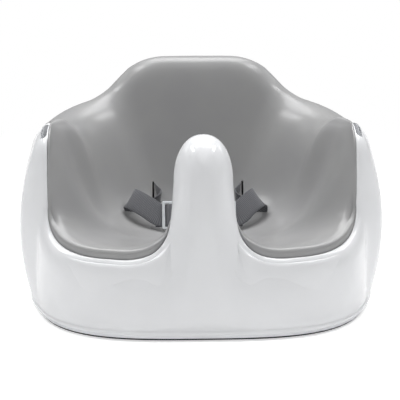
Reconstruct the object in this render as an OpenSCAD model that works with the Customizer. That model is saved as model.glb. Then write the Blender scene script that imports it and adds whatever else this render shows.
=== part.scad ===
// Baby floor seat: a hollow moulded shell with a pommel, a soft liner, a closed base and a three-point harness.
// Millimetres. +Z is up, the child faces -Y, and the origin is on the floor below the middle of the seat.

/* [Outline] */
// Width of the shell at the floor
base_width = 354; // [340:1:370]
// Depth of the shell at the floor
base_depth = 326; // [300:1:350]
// Squareness of the outline, where 2 is an ellipse
base_square = 3.25; // [3:0.05:3.4]
// How far each side wall swells out beyond the floor line
side_swell = 14.5; // [11:0.5:17]
// How far the front wall leans in at the top of the pommel
front_lean = 27; // [18:1:34]
// How far the side walls lean in at the arms
side_lean = 9.5; // [7:0.5:12]
// How far the rear wall leans in at the top of the back
rear_lean = 12; // [6:1:18]

/* [Rim] */
// Height of the lip under each leg
leg_height = 75.5; // [70:0.5:82]
// Height of the arms
arm_height = 187; // [180:0.5:194]
// Height of the shell's rim beside the shoulders
shoulder_height = 168; // [165:0.5:171]
// Height of the shell's rim behind the head
back_height = 213; // [206:0.5:220]
// How far the arms reach forward of the widest point, along the wall
arm_reach = 93; // [85:1:103]
// Half the width of the raised back at its foot, along the wall
back_half = 129; // [118:1:140]
// Thickness of the rolled lip round the leg openings and arms
lip_thickness = 20; // [16:0.5:24]
// Length of rim over which the lip rounds off
lip_round = 19; // [15:0.5:23]
// Wall thickness of the moulded shell
shell_wall = 3; // [2.4:0.1:3.6]

/* [Pommel] */
// Height of the pommel's top
pommel_height = 192; // [184:1:200]
// Width of the pommel
pommel_width = 59; // [52:1:66]
// Depth of the pommel from front to back
pommel_depth = 52; // [46:1:58]
// Height of the pommel's domed top
dome_height = 45; // [36:1:54]
// Height of the line where the liner meets the back of the pommel
seam_height = 104; // [98:0.5:110]

/* [Seat liner] */
// Thickness of the foam
liner_thickness = 12; // [9:0.5:14]
// Height of the seat pan's lowest point
pan_height = 40; // [36:0.5:44]
// Half the width of the pan
pan_half_width = 114; // [104:1:122]
// How far the liner stands over the lip at the legs
leg_roll = 9; // [5:0.5:12]
// How far the liner stands over the rim at the back
back_roll = 17; // [12:0.5:20]
// How far the liner stands over the rim beside the shoulders
shoulder_roll = 4; // [2:0.5:7]
// Gap between the liner and the shell
liner_gap = 0.45; // [0.45:0.05:0.7]

/* [Base] */
// Height of the shell's bottom edge above the floor
base_height = 6; // [5:0.5:8]
// Thickness of the rubber foot ring
foot_thickness = 2.5; // [2:0.25:3.5]
// Width of the rubber foot ring
foot_width = 16; // [12:1:20]
// Thickness of the base plate's web
plate_web = 2; // [1.5:0.25:2.5]
// Radius of a screw boss
boss_radius = 5; // [4.4:0.2:6]
// Radius of the hole for a screw
screw_hole = 1.5; // [1.2:0.1:1.7]

/* [Harness] */
// Width of the webbing
web_width = 25; // [22:0.5:27]
// Thickness of the webbing
web_thickness = 1.4; // [1:0.1:1.8]
// Distance from the middle to each waist slot
waist_slot_x = 52; // [44:1:58]
// Height of the middle of each waist slot
waist_slot_z = 68; // [64:1:74]
// Width of the buckle's body
buckle_width = 44; // [40:1:48]
// Height of the buckle's body, across the straps
buckle_height = 34; // [31:1:38]
// Thickness of the buckle's body
buckle_thickness = 13; // [12:0.5:15]
// How far a tongue goes into the buckle
tongue_depth = 13; // [11:0.5:13]
// Length of a tray slot in the top of an arm
tray_slot_length = 34; // [29:1:38]
// Width of a tray slot
tray_slot_width = 6.5; // [5:0.5:8]

/* [Hidden] */
$fn = 48;

white = [0.93, 0.93, 0.94];
foam = [0.60, 0.60, 0.61];
grey = [0.70, 0.70, 0.71];
black = [0.16, 0.16, 0.17];
webbing = [0.36, 0.36, 0.37];
buckle_grey = [0.62, 0.62, 0.63];

// ---- small helpers ----
function ease(t) = let (u = min(1, max(0, t))) u * u * (3 - 2 * u);
function total(list) = [for (v = list) 1] * list;
function unit(v) = v / norm(v);
function flip(p) = [-p[0], p[1], p[2]];
// Value that eases from one station to the next: stations are [place, value].
function eased(x, stations) = stations[0][1] + total([for (i = [1 : len(stations) - 1])
    (stations[i][1] - stations[i - 1][1])
    * ease((x - stations[i - 1][0]) / (stations[i][0] - stations[i - 1][0]))]);
// Points of a rounded corner at b, between a and c.
function corner(a, b, c, n) = [for (i = [0 : n]) let (t = i / n)
    (1 - t) * (1 - t) * a + 2 * t * (1 - t) * b + t * t * c];
function toward(a, b, d) = a + unit(b - a) * min(d, norm(b - a) * 0.85);

// ---- outline of the shell, by the angle from the front ----
half_width = base_width / 2;
half_depth = base_depth / 2;
function outline(angle) = let (s = sin(angle), c = cos(angle),
    r = (pow(abs(s / half_width), base_square) + pow(abs(c / half_depth), base_square)) ^ (-1 / base_square))
    [r * s, -r * c];
function inward(p) = let (x = sign(p[0]) * pow(abs(p[0]) / half_width, base_square - 1) / half_width,
    y = sign(p[1]) * pow(abs(p[1]) / half_depth, base_square - 1) / half_depth) -unit([x, y]);
outline_steps = 120;
outline_points = [for (i = [0 : outline_steps]) outline(180 * i / outline_steps)];
// Running length round the outline, from the middle of the front.
outline_run = [for (i = 0, s = 0; i <= outline_steps;
    s = s + (i < outline_steps ? norm(outline_points[i + 1] - outline_points[i]) : 0), i = i + 1) s];
angle_by_run = [for (i = [0 : outline_steps]) [outline_run[i], 180 * i / outline_steps]];
side_run = lookup(90, [for (v = angle_by_run) [v[1], v[0]]]);
rear_run = outline_run[outline_steps];

// ---- the wall: a run round the outline and a height give a point ----
function wall_shift(angle, y, z) = let (h = max(z - 5, 0),
    front = ease((52 - angle) / 36),
    rear = ease((angle - 100) / 55),
    swell = side_swell * ease((y + 95) / 26) * ease((150 - y) / 150)
        * pow(sin(180 * min(1, max(0, z / 180))), 0.9))
    front_lean * pow(h / 190, 1.15) * front
    + side_lean * pow(h / 177, 1.7) * (1 - front) * (1 - rear)
    + rear_lean * pow(h / 210, 1.6) * rear - swell;
function wall(run, z, inset = 0) = let (angle = lookup(run, angle_by_run), p = outline(angle),
    q = p + inward(p) * (wall_shift(angle, p[1], z) + inset)) [q[0], q[1], z];

// ---- crest of the rim, as [run, height], from the pommel's top to the middle of the back ----
arm_run = side_run - arm_reach;
crest_steps = 8;
function rim(a, b, c) = corner(a, b, c, crest_steps);
pommel_side = pommel_width / 2;
dome_base = pommel_height - dome_height;
crest = concat(
    [for (i = [0 : crest_steps]) let (a = 90 * i / crest_steps)
        [pommel_side * pow(sin(a), 0.91), dome_base + dome_height * pow(cos(a), 0.91)]],
    rim([pommel_side + 1.5, leg_height + 31], [pommel_side + 3, leg_height - 0.3], [pommel_side + 54, leg_height]),
    rim([arm_run - 66, leg_height + 0.5], [arm_run - 7, leg_height], [arm_run - 3, leg_height + 38]),
    rim([arm_run + 3, arm_height - 26], [arm_run + 7, arm_height - 1], [arm_run + 40, arm_height]),
    rim([side_run - 55, arm_height - 0.5], [side_run - 35, arm_height - 1], [side_run + 30, shoulder_height + 1]),
    rim([rear_run - back_half - 20, shoulder_height], [rear_run - back_half, shoulder_height],
        [rear_run - back_half + 14, shoulder_height + 9]),
    rim([rear_run - back_half + 38, back_height - 15], [rear_run - back_half + 59, back_height - 1],
        [rear_run - back_half + 86, back_height]),
    [[rear_run, back_height + 0.3]]);
crest_run = [for (i = 0, s = 0; i < len(crest);
    s = s + (i < len(crest) - 1 ? norm(crest[i + 1] - crest[i]) : 0), i = i + 1) s];
run_at = [for (i = [0 : len(crest) - 1]) [crest_run[i], crest[i][0]]];
height_at = [for (i = [0 : len(crest) - 1]) [crest_run[i], crest[i][1]]];
place_of = [for (i = [0 : len(crest) - 1]) [crest[i][0], crest_run[i]]];
// Places along the crest where the shape changes character.
seam_place = lookup(-seam_height, [for (i = [0 : 2 * crest_steps + 1]) [-crest[i][1], crest_run[i]]]);
foot_place = lookup(pommel_side + 54, place_of);
lip_place = lookup(arm_run - 66, place_of);
arm_place = lookup(arm_run + 40, place_of);
end_place = crest_run[len(crest) - 1];

// ---- columns: sections of the seat, half of them, from the pommel to the middle of the back ----
function spread(a, b, n) = [for (i = [0 : n - 1]) a + (b - a) * i / n];
places = concat(spread(0, seam_place, 9), spread(seam_place, foot_place, 4), spread(foot_place, lip_place, 2),
    spread(lip_place, arm_place, 8), spread(arm_place, end_place, 13), [end_place]);
half_columns = len(places) - 1;
column_count = 2 * half_columns;

// What each column needs: [place, crest point, crest normal, foot run, lip half depth, lip rounding, seam angle].
function column(place) = let (c = [lookup(place, run_at), lookup(place, height_at)],
    before = [lookup(place - 1, run_at), lookup(place - 1, height_at)],
    after = [lookup(place + 1, run_at), lookup(place + 1, height_at)],
    along = place <= 0 || place >= end_place ? [1, 0] : unit(after - before),
    foot = lookup(place, [[0, 0], [foot_place, pommel_side + 54], [lip_place, arm_run - 66],
        [arm_place, arm_run + 40], [end_place, rear_run]]),
    full = c[0] < pommel_side + 60 ? ease((c[1] - leg_height - 2) / (seam_height - leg_height - 2)) : 0)
    [place, c, [-along[1], along[0]], foot,
        lip_thickness / 2 + (pommel_depth - lip_thickness) / 2 * full,
        lip_round + (pommel_side - lip_round) * full,
        eased(c[0], [[side_run - 40, -20], [side_run + 45, 60]])];
// The angle on the rounded lip where the outer rings end: the crest, or short of the seam where that lies outside.
function turn_angle(k) = max(0, k[6] + 12 * ease((k[6] + 20) / 40));

// Distance of a wall point from the crest, and how far the rounded lip stands in from the wall there.
crest_wall = [for (p = crest) wall(p[0], p[1])];
function from_segment(p, a, b) = let (ab = b - a, t = min(1, max(0, (p - a) * ab / (ab * ab))))
    norm(p - a - ab * t);
function from_crest(run, z) = let (p = wall(run, z))
    min([for (i = [1 : len(crest_wall) - 1]) from_segment(p, crest_wall[i - 1], crest_wall[i])]);
function rounding(d, depth, radius) = d >= radius ? 0 : depth * (1 - sqrt(max(0, 1 - pow(1 - d / radius, 2))));

// ---- outer wall of a column, from the bottom edge up to the crest ----
lip_angles = [90, 66, 44, 24, 9, 0];
wall_steps = 4;
function up_column(k, t) = [k[3], base_height] + (k[1] - [k[3], base_height]) * t;
function round_start(k, angle, skin) = let (run = k[1] - [k[3], base_height])
    1 - (skin + (k[5] - skin) * (1 - cos(angle))) / (norm(run) * max(0.55, unit(run) * k[2]));
bead = 1.2;
function outer_column(k) = let (first = round_start(k, lip_angles[0], 0))
    concat(
        [wall(k[3], base_height, -bead), wall(k[3], base_height + 3.5, -bead), wall(k[3], base_height + 5, 0)],
        [for (i = [1 : wall_steps - 1]) let (p = up_column(k, 0.05 + (first - 0.05) * i / wall_steps))
            wall(p[0], p[1], rounding(from_crest(p[0], p[1]), k[4], k[5]))],
        [for (a = lip_angles) let (b = turn_angle(k) + a * (90 - turn_angle(k)) / 90, p = up_column(k, round_start(k, b, 0)))
            wall(p[0], p[1], b == 0 ? k[4] : rounding(from_crest(p[0], p[1]), k[4], k[5]))]);

// ---- inner side of the lip, from just past the crest to the seam with the liner ----
inner_steps = 5;
function is_pommel(k) = k[0] < seam_place;
function seam_run(k) = (pommel_side + 0.8) * sin(90 * k[0] / seam_place);
function inner_place(k, t) = is_pommel(k)
    ? let (p = k[1] + ([seam_run(k), seam_height] - k[1]) * t * t, d = t == 0 ? 0 : from_crest(p[0], p[1]))
        [p[0], p[1], 2 * k[4] - rounding(d, k[4], k[5])]
    : let (a = turn_angle(k) + (k[6] - turn_angle(k)) * t, p = k[1] - k[2] * k[5] * (1 - cos(a)))
        [p[0], p[1], k[4] * (1 - sin(a))];
function inner_point(k, t) = let (p = inner_place(k, t)) wall(p[0], p[1], p[2]);
function inner_column(k) = [for (i = [1 : inner_steps]) inner_point(k, i / inner_steps)];
function seam(k) = inner_point(k, 1);

// ---- the liner's own section: control points seam, shoulder, roll, pan corner and middle ----
pan_middle = [0, 20, pan_height];
function pan_corner(k) = let (a = lookup(k[0], [[0, 0], [seam_place, 20], [foot_place, 36], [lip_place, 48],
        [lookup(arm_run - 5, place_of), 58], [lookup(arm_run + 7, place_of), 66], [arm_place, 86], [end_place, 180]]),
    depth = a < 90 ? 88 : 70,
    r = (pow(abs(sin(a) / pan_half_width), 2.3) + pow(abs(cos(a) / depth), 2.3)) ^ (-1 / 2.3),
    z = eased(a, [[0, 18], [15, 22], [45, 20], [80, 10], [110, 6], [180, 4]]))
    [r * sin(a), 15 - r * cos(a), pan_height + z];
function into_seat(k) = let (s = seam(k), q = pan_corner(k)) unit([q[0] - s[0], q[1] - s[1], 0]);
// Way out of the shell at the seam: round the pommel it fans out, and elsewhere it is square to the wall.
function past_pommel(k) = min(1, max(0, (k[0] - seam_place) / (foot_place - seam_place)));
function off_seam(k) = let (a = 90 * k[0] / seam_place, n = inward(outline(lookup(k[1][0], angle_by_run))),
    turn = atan2(n[0], n[1]) + 85 * pow(1 - past_pommel(k), 1.5))
    is_pommel(k) ? [sin(a), cos(a), 0] : [sin(turn), cos(turn), 0];
// A size of the liner's roll: it eases from one value to the other round the pommel, then follows its stations.
function rolled(k, top, side, stations) = is_pommel(k) ? top + (side - top) * ease(k[0] / seam_place)
    : eased(k[1][0], concat([[pommel_side + 3, side]], stations));
function roll_rise(k) = rolled(k, 2, 4, [[pommel_side + 22, leg_roll], [arm_run - 30, leg_roll], [arm_run, 3],
    [side_run - 30, 2], [side_run + 45, shoulder_roll], [rear_run - back_half + 35, back_roll]]);
function roll_width(k) = rolled(k, 7, 8, [[pommel_side + 22, 14], [arm_run - 30, 14], [arm_run, 10],
    [side_run - 40, 16], [side_run + 20, 36], [rear_run - back_half - 30, 38], [rear_run - back_half + 20, 24]]);
function shoulder_cut(k) = rolled(k, 2, 4, [[pommel_side + 30, 8], [arm_run - 30, 8], [arm_run, 3],
    [side_run - 40, 3], [side_run + 45, 13]]);
function roll_cut(k) = rolled(k, 6, 8, [[pommel_side + 30, 16], [arm_run - 30, 16], [arm_run + 20, 16],
    [side_run - 20, 40], [side_run + 45, 46], [rear_run - back_half - 30, 42], [rear_run - back_half + 30, 20]]);
function pan_cut(k) = eased(k[0], [[0, 25], [foot_place, 42], [arm_place, 50], [end_place, 42]]);
function liner_edge(k) = seam(k) + off_seam(k) * liner_gap;
function roll_point(k) = liner_edge(k) + into_seat(k) * roll_width(k) + [0, 0, roll_rise(k)];

function liner_top(k) = let (e = liner_edge(k), a = e + [0, 0, roll_rise(k)], b = roll_point(k), q = pan_corner(k),
    cut = min(shoulder_cut(k), norm(b - a) * 0.4), roll = roll_cut(k), pan = pan_cut(k),
    b1 = toward(b, a, min(roll, norm(b - a) * 0.9 - cut)), b2 = toward(b, q, min(roll, norm(q - b) * 0.45)),
    q1 = toward(q, b, min(pan, norm(q - b) * 0.5)), q2 = toward(q, pan_middle, min(pan, norm(pan_middle - q) * 0.6)))
    concat([e], corner(toward(a, e, cut), a, toward(a, b, cut), 2), corner(b1, b, b2, 3), corner(q1, q, q2, 2));

// Underside of the section, a given depth below the top: ledge, ledge's inner end, pan corner and middle.
function across(k, p) = let (s = seam(k), d = into_seat(k)) [(p - s) * d, p[2]];
function back(k, v) = let (s = seam(k), d = into_seat(k)) [s[0] + d[0] * v[0], s[1] + d[1] * v[0], v[1]];
// The ledge drops further below the liner where the rim climbs behind the shoulders.
function climb(k) = abs(k[2][0]) * ease((k[1][0] - side_run + 20) / 40);
function ledge_height(k, depth) = seam(k)[2] - max(1.5, liner_thickness - roll_rise(k))
    - (depth - liner_thickness) * (1 + 2.2 * climb(k));
function under(k, depth, start) = let (b = across(k, roll_point(k)), q = across(k, pan_corner(k)),
    m = [norm([pan_middle[0], pan_middle[1]] - [pan_corner(k)[0], pan_corner(k)[1]]) + q[0], pan_height],
    n1 = unit([-(b[1] - q[1]), -(q[0] - b[0])]), n2 = unit([-(q[1] - m[1]), -(m[0] - q[0])]),
    q_low = q + depth * (n1 + n2) / (1 + n1 * n2), b_low = b + n1 * depth,
    z = ledge_height(k, depth), slope = (q_low[0] - b_low[0]) / (q_low[1] - b_low[1]),
    w = min(max(start + 2.5, b_low[0] + slope * (z - b_low[1])), q_low[0] - 3))
    [[start, z], [w, z], q_low, [m[0], pan_height - depth]];
function under_column(k, depth, start) = let (u = under(k, depth, start), pan = pan_cut(k) * 0.7,
    fan = (off_seam(k) - into_seat(k)) * start,
    share = ease(past_pommel(k)), shares = [1, 1 + share, 2 * share, 0],
    p = [for (i = [0 : 3]) back(k, u[i]) + fan * shares[i]],
    middle = [pan_middle[0], pan_middle[1], pan_height - depth],
    q = p[2], q1 = toward(q, p[1], min(pan, norm(q - p[1]) * 0.5)),
    q2 = toward(q, middle, min(pan, norm(middle - q) * 0.6)))
    concat([p[0], p[1], q1, (q1 + 2 * q + q2) / 4, q2]);

// ---- hollow inside the shell, from the bottom edge up its outer skin and down to the tub ----
function tub_depth() = liner_thickness + liner_gap;
function skin_depth() = tub_depth() + shell_wall;
function hollow_drop(k) = let (least = shell_wall + 0.4)
    least + max(0, k[1][1] - ledge_height(k, skin_depth()) - least) * ease((k[6] + 20) / 30);
function tub_start(k) = max(-shell_wall, hollow_middle(k) + shell_wall - seam_inset(k));
function hollow_crest(k) = k[1] - k[2] * hollow_drop(k);
function seam_inset(k) = inner_place(k, 1)[2];
function hollow_middle(k) = max(shell_wall + 0.6, seam_inset(k) / 2);
function hollow_up(k, t) = [k[3], base_height] + (hollow_crest(k) - [k[3], base_height]) * t;
function hollow_inset(k, d) = shell_wall
    + rounding(max(0, d - hollow_drop(k)), hollow_middle(k) - shell_wall, k[5] - shell_wall);
hollow_steps = [0, 0.3, 0.6, 0.8, 0.92, 0.98];
function hollow_outer(k) = concat(
    [for (t = hollow_steps) let (p = hollow_up(k, t)) wall(p[0], p[1], hollow_inset(k, from_crest(p[0], p[1])))],
    [let (p = hollow_crest(k)) wall(p[0], p[1], hollow_middle(k))]);
function hollow_inner(k) = [for (t = [0.5, 0.8, 1]) let (p = inner_place(k, t), d = from_crest(p[0], p[1]),
    drop = max(0, hollow_drop(k) - d), v = [p[0], p[1]] - k[2] * drop)
    wall(v[0], min(v[1], hollow_crest(k)[1]), max(hollow_middle(k) + shell_wall / 2 * t, p[2] - shell_wall))];

// A closed skin over the columns and their mirror images. A column is a list of runs that go up and down by
// turns. Every quad is split from its upper point nearer the pommel, so that a wall's two sides stay parallel
// and neighbouring pieces meet face to face.
module closed_skin(columns, top, bottom) {
    halves = [for (c = columns) [for (run = c) each run]];
    goes_up = [for (r = [0 : len(columns[0]) - 1]) each [for (p = columns[0][r]) r % 2 == 0]];
    n = len(halves[0]);
    all = concat(halves, [for (i = [half_columns - 1 : -1 : 1]) [for (p = halves[i]) flip(p)]]);
    points = concat([top, bottom], [for (c = all) each c]);
    faces = [for (i = [0 : column_count - 1]) let (a = 2 + i * n, b = 2 + (i + 1) % column_count * n)
        each concat([[0, b, a], [1, a + n - 1, b + n - 1]],
            [for (j = [0 : n - 2]) each (i < half_columns) == goes_up[j]
                ? [[a + j, b + j, a + j + 1], [b + j, b + j + 1, a + j + 1]]
                : [[a + j, b + j + 1, a + j + 1], [a + j, b + j, b + j + 1]]])];
    polyhedron(points, faces);
}

function reversed(list) = [for (i = [len(list) - 1 : -1 : 0]) list[i]];

module shell_body() {
    columns = [for (place = places) let (k = column(place))
        [concat(reversed(under_column(k, tub_depth(), 0)), reversed(inner_column(k))), reversed(outer_column(k)),
            hollow_outer(k), concat(hollow_inner(k), under_column(k, skin_depth(), tub_start(k)))]];
    closed_skin(columns, pan_middle - [0, 0, tub_depth()], pan_middle - [0, 0, skin_depth()]);
}

// The shell's outside as one solid, with nothing hollow but the seat.
module shell_outside() {
    columns = [for (place = places) let (k = column(place))
        [concat(reversed(under_column(k, tub_depth(), 0)), reversed(inner_column(k))), reversed(outer_column(k))]];
    closed_skin(columns, pan_middle - [0, 0, tub_depth()], [pan_middle[0], pan_middle[1], base_height]);
}

// ---- places of the fittings ----
boss_angles = [24, 62, 112, 152];
boss_top = 22;
post_places = [[-28, 8], [28, 8], [-28, 36], [28, 36]];
function boss_place(angle) = let (run = lookup(angle, [for (v = angle_by_run) [v[1], v[0]]]))
    wall(run, base_height, shell_wall + boss_radius + 1.2);
function rib_end(angle) = let (run = lookup(angle, [for (v = angle_by_run) [v[1], v[0]]]))
    wall(run, base_height, shell_wall - 0.8);
boss_places = concat([for (a = boss_angles) boss_place(a)], [for (a = boss_angles) flip(boss_place(a))]);
rib_ends = concat([for (a = boss_angles) rib_end(a)], [for (a = boss_angles) flip(rib_end(a))]);
plate_top = base_height;
tray_slot_run = arm_run + 35;
tray_slot_depth = 15;
pocket_wall = 2.2;
tray_slot_place = wall(tray_slot_run, arm_height, lip_thickness / 2 - 2);
slot_gap = 2.6;
crotch_slot_y = -28;
buckle_tilt = 60;
buckle_place = [0, 34, pan_height + 2.5 + buckle_height / 2 * sin(buckle_tilt)
    + buckle_thickness / 2 * cos(buckle_tilt)];

module mirrored() {
    children();
    mirror([1, 0, 0]) children();
}

module rounded_slot(length, width, depth) {
    linear_extrude(depth) {
        square([width, length - width], center = true);
        for (y = [-1, 1]) translate([0, y * (length - width) / 2]) circle(width / 2);
    }
}

module rounded_plate(width, height, radius, thickness) {
    linear_extrude(thickness) {
        square([width - 2 * radius, height], center = true);
        square([width, height - 2 * radius], center = true);
        for (x = [-1, 1], y = [-1, 1])
            translate([x * (width / 2 - radius), y * (height / 2 - radius)]) circle(radius);
    }
}

// The slots that the webbing passes through, in the liner and in the tub under it.
module strap_slots() {
    slot = web_width + 3;
    mirrored() translate([waist_slot_x - slot_gap, 62, waist_slot_z - slot / 2])
        cube([2 * slot_gap, 60, slot]);
    translate([-slot / 2, crotch_slot_y - slot_gap, 20]) cube([slot, 2 * slot_gap, 50]);
}

module tray_slots() {
    mirrored() translate([tray_slot_place[0], tray_slot_place[1], arm_height - tray_slot_depth])
        rounded_slot(tray_slot_length, tray_slot_width, tray_slot_depth + 5, $fn = 24);
}

// Walls and floor of the pockets that the tray slots open into; they end inside the arm's own wall.
module tray_pockets() {
    intersection() {
        translate([0, 0, -shell_wall / 2]) shell_outside();
        mirrored() translate([tray_slot_place[0], tray_slot_place[1], arm_height - tray_slot_depth - pocket_wall])
            rounded_slot(tray_slot_length + 2 * pocket_wall, tray_slot_width + 2 * pocket_wall,
                tray_slot_depth + 5, $fn = 24);
    }
}

// A screw boss beside the wall, with the web that joins them.
module boss(place, wall_end) {
    height = boss_top - base_height;
    translate([place[0], place[1], base_height]) {
        cylinder(r = boss_radius, h = height, $fn = 20);
        rotate([0, 0, atan2(wall_end[1] - place[1], wall_end[0] - place[0])])
            translate([0, -1, 0]) cube([norm(wall_end - place), 2, height]);
    }
}

// A moulding keeps its size and is one mesh, because its openings cut through many small faces.
module moulding() {
    resize([0, 0, 0]) children();
}

module shell() {
    color(white) moulding() difference() {
        union() {
            shell_body();
            for (i = [0 : len(boss_places) - 1]) boss(boss_places[i], rib_ends[i]);
            for (q = post_places) translate([q[0], q[1], base_height])
                cylinder(r = boss_radius, h = pan_height - skin_depth() + 3.2 - base_height, $fn = 20);
            tray_pockets();
        }
        for (b = boss_places) translate([b[0], b[1], base_height - 1])
            cylinder(r = screw_hole / cos(180 / 16), h = 13, $fn = 16);
        strap_slots();
        tray_slots();
    }
}

module seat_liner() {
    columns = [for (place = places) let (k = column(place))
        [reversed(liner_top(k)), under_column(k, liner_thickness, liner_gap)]];
    color(foam) moulding() difference() {
        closed_skin(columns, pan_middle, pan_middle - [0, 0, liner_thickness]);
        strap_slots();
    }
}

// ---- base: plate, foot ring and screws ----
function ring_outline(inset) = let (half = [for (i = [0 : 2 : outline_steps])
    let (p = wall(outline_run[i], base_height, inset)) [p[0], p[1]]])
    concat(half, [for (i = [len(half) - 2 : -1 : 1]) [-half[i][0], half[i][1]]]);
plate_inset = 1.5;
foot_inset = 3.5;
rim_width = 9;
screw_head = 3.2;
module ring(outer, inner, height) {
    linear_extrude(height) difference() {
        polygon(ring_outline(outer));
        polygon(ring_outline(inner));
    }
}

// Half the span of the ribs, which end at the plate's raised edge near the corners.
rib_reach_x = half_width * 0.74;
rib_reach_y = half_depth * 0.68;
module rib(x, y) {
    height = plate_top - foot_thickness - 0.5;
    translate([-x / 2, -y / 2, 0]) cube([x, y, height]);
}

module base_plate() {
    color(grey) difference() {
        union() {
            translate([0, 0, foot_thickness]) linear_extrude(plate_web) polygon(ring_outline(plate_inset));
            translate([0, 0, foot_thickness]) ring(plate_inset, plate_inset + rim_width, plate_top - foot_thickness);
            for (b = boss_places) translate([b[0], b[1], foot_thickness])
                cylinder(r = boss_radius + 1.5, h = plate_top - foot_thickness);
            for (q = post_places) translate([q[0], q[1], foot_thickness])
                cylinder(r = boss_radius + 1, h = plate_top - foot_thickness);
            for (x = [-2 : 2]) translate([x * rib_reach_x / 2.4, 0, foot_thickness]) rib(2, 2 * rib_reach_y);
            for (y = [-2 : 2]) translate([0, y * rib_reach_y / 2.4, foot_thickness]) rib(2 * rib_reach_x, 2);
        }
        for (b = boss_places) {
            translate([b[0], b[1], foot_thickness - 1]) cylinder(r = screw_head + 0.4, h = 2.8);
            translate([b[0], b[1], 0]) cylinder(r = screw_hole + 0.2, h = plate_top + 1);
        }
    }
}

module foot_ring() {
    color(black) difference() {
        ring(foot_inset, foot_inset + foot_width, foot_thickness);
        for (b = boss_places) translate([b[0], b[1], -1]) cylinder(r = screw_head + 1.2, h = foot_thickness + 2);
    }
}

module base_screws() {
    color(black) for (b = boss_places) translate([b[0], b[1], foot_thickness]) difference() {
        union() {
            translate([0, 0, 0.1]) cylinder(r = screw_head, h = 1.7);
            cylinder(r = screw_hole - 0.05, h = 13);
        }
        for (a = [0, 90]) rotate([0, 0, a]) translate([-2, -0.4, -1]) cube([4, 0.8, 2]);
    }
}

// ---- sizes inside the buckle, in its own frame: X across, Y up its face, Z out of its face ----
back_thickness = 3;
housing_wall = 2;
front_z = buckle_thickness / 2;
back_z = -buckle_thickness / 2;
// The loop bar for the crotch strap, below the housing.
bar_height = 2.6;
bar_back = -3;
slot_half = web_thickness / 2 + 1;
slot_local = -buckle_height / 2 + bar_height + slot_half;
housing_bottom = slot_local + slot_half + 0.6;
cavity_width = buckle_width - 2 * housing_wall;
cavity_top = buckle_height / 2 - housing_wall;
cavity_bottom = housing_bottom + housing_wall;
button_middle = (cavity_top + cavity_bottom) / 2;
button_radius = 7.5;
button_back = 2;
button_edge = front_z - housing_wall - 0.2;
tongue_thickness = 2.6;
tongue_half = 10;
// Middles of a tongue's two slots, from the buckle's side.
inner_slot = 6.2;
outer_slot = 14;
tongue_slot = 4.4;
frame_length = 19;

// ---- webbing: a flat band along a smooth path; stations are [place, direction of the band's width] ----
function smooth_path(stations, n) = concat([stations[0]],
    [for (i = [1 : len(stations) - 2]) let (a = i == 1 ? stations[0] : (stations[i - 1] + stations[i]) / 2,
        c = i == len(stations) - 2 ? stations[i + 1] : (stations[i] + stations[i + 1]) / 2)
        each [for (j = [1 : n]) let (t = j / n)
            (1 - t) * (1 - t) * a + 2 * t * (1 - t) * stations[i] + t * t * c]]);
module band(stations, width, thickness) {
    path = smooth_path(stations, 5);
    n = len(path);
    points = [for (i = [0 : n - 1]) let (t = unit(path[min(n - 1, i + 1)][0] - path[max(0, i - 1)][0]),
        w = unit(path[i][1] - t * (path[i][1] * t)) * width / 2, h = unit(cross(t, w)) * thickness / 2, c = path[i][0])
        each [c - w - h, c + w - h, c + w + h, c - w + h]];
    faces = concat([[0, 1, 2], [0, 2, 3]], [[4 * n - 1, 4 * n - 2, 4 * n - 3], [4 * n - 1, 4 * n - 3, 4 * n - 4]],
        [for (i = [0 : n - 2], j = [0 : 3]) let (a = 4 * i + j, b = 4 * i + (j + 1) % 4)
            each [[a, a + 4, b], [b, a + 4, b + 4]]]);
    polyhedron(points, faces);
}

upright = [0, 0, 1];
leaning = [0, cos(buckle_tilt), sin(buckle_tilt)];
over_bar = tongue_thickness / 2 + web_thickness / 2 + 0.5;
tail = 8;
// How far each waist strap's fold stands out beyond its slot.
right_fold = 18;
left_fold = 24;
function at_tongue(x, z) = [buckle_point([buckle_width / 2 + x, 0, z]), leaning];
// Course of a waist strap on the +X side: out of its slot, round its fold, up and over the tongue's bar,
// and back behind itself.
function waist_course(fold) = [
    [[waist_slot_x, 112, waist_slot_z], upright],
    [[waist_slot_x, 96, waist_slot_z], upright],
    [[waist_slot_x, 76, waist_slot_z], upright],
    [[waist_slot_x + 1, 63, waist_slot_z], upright],
    [[fold - 12, 58, waist_slot_z], [0, 0.1, 1]],
    [[fold + 3, 55, waist_slot_z], [0.1, 0.2, 1]],
    [[fold + 3, 44, waist_slot_z - 1], [0.1, 0.3, 1]],
    [[fold - 14, 40, waist_slot_z - 4], [0, 0.4, 1]],
    at_tongue(frame_length + 4, -over_bar - 0.3),
    at_tongue(outer_slot, -over_bar),
    at_tongue(outer_slot, over_bar),
    at_tongue(inner_slot, over_bar),
    at_tongue(inner_slot, -over_bar - web_thickness - 0.5),
    at_tongue(17, -over_bar - web_thickness - 0.5),
    at_tongue(frame_length + tail, -over_bar - web_thickness - 2)];

module waist_strap_right() {
    color(webbing) band(waist_course(waist_slot_x + right_fold), web_width, web_thickness);
}

module waist_strap_left() {
    color(webbing) mirror([1, 0, 0]) band(waist_course(waist_slot_x + left_fold), web_width, web_thickness);
}

function buckle_point(v) = buckle_place + [v[0], v[1] * cos(buckle_tilt) - v[2] * sin(buckle_tilt),
    v[1] * sin(buckle_tilt) + v[2] * cos(buckle_tilt)];
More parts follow.
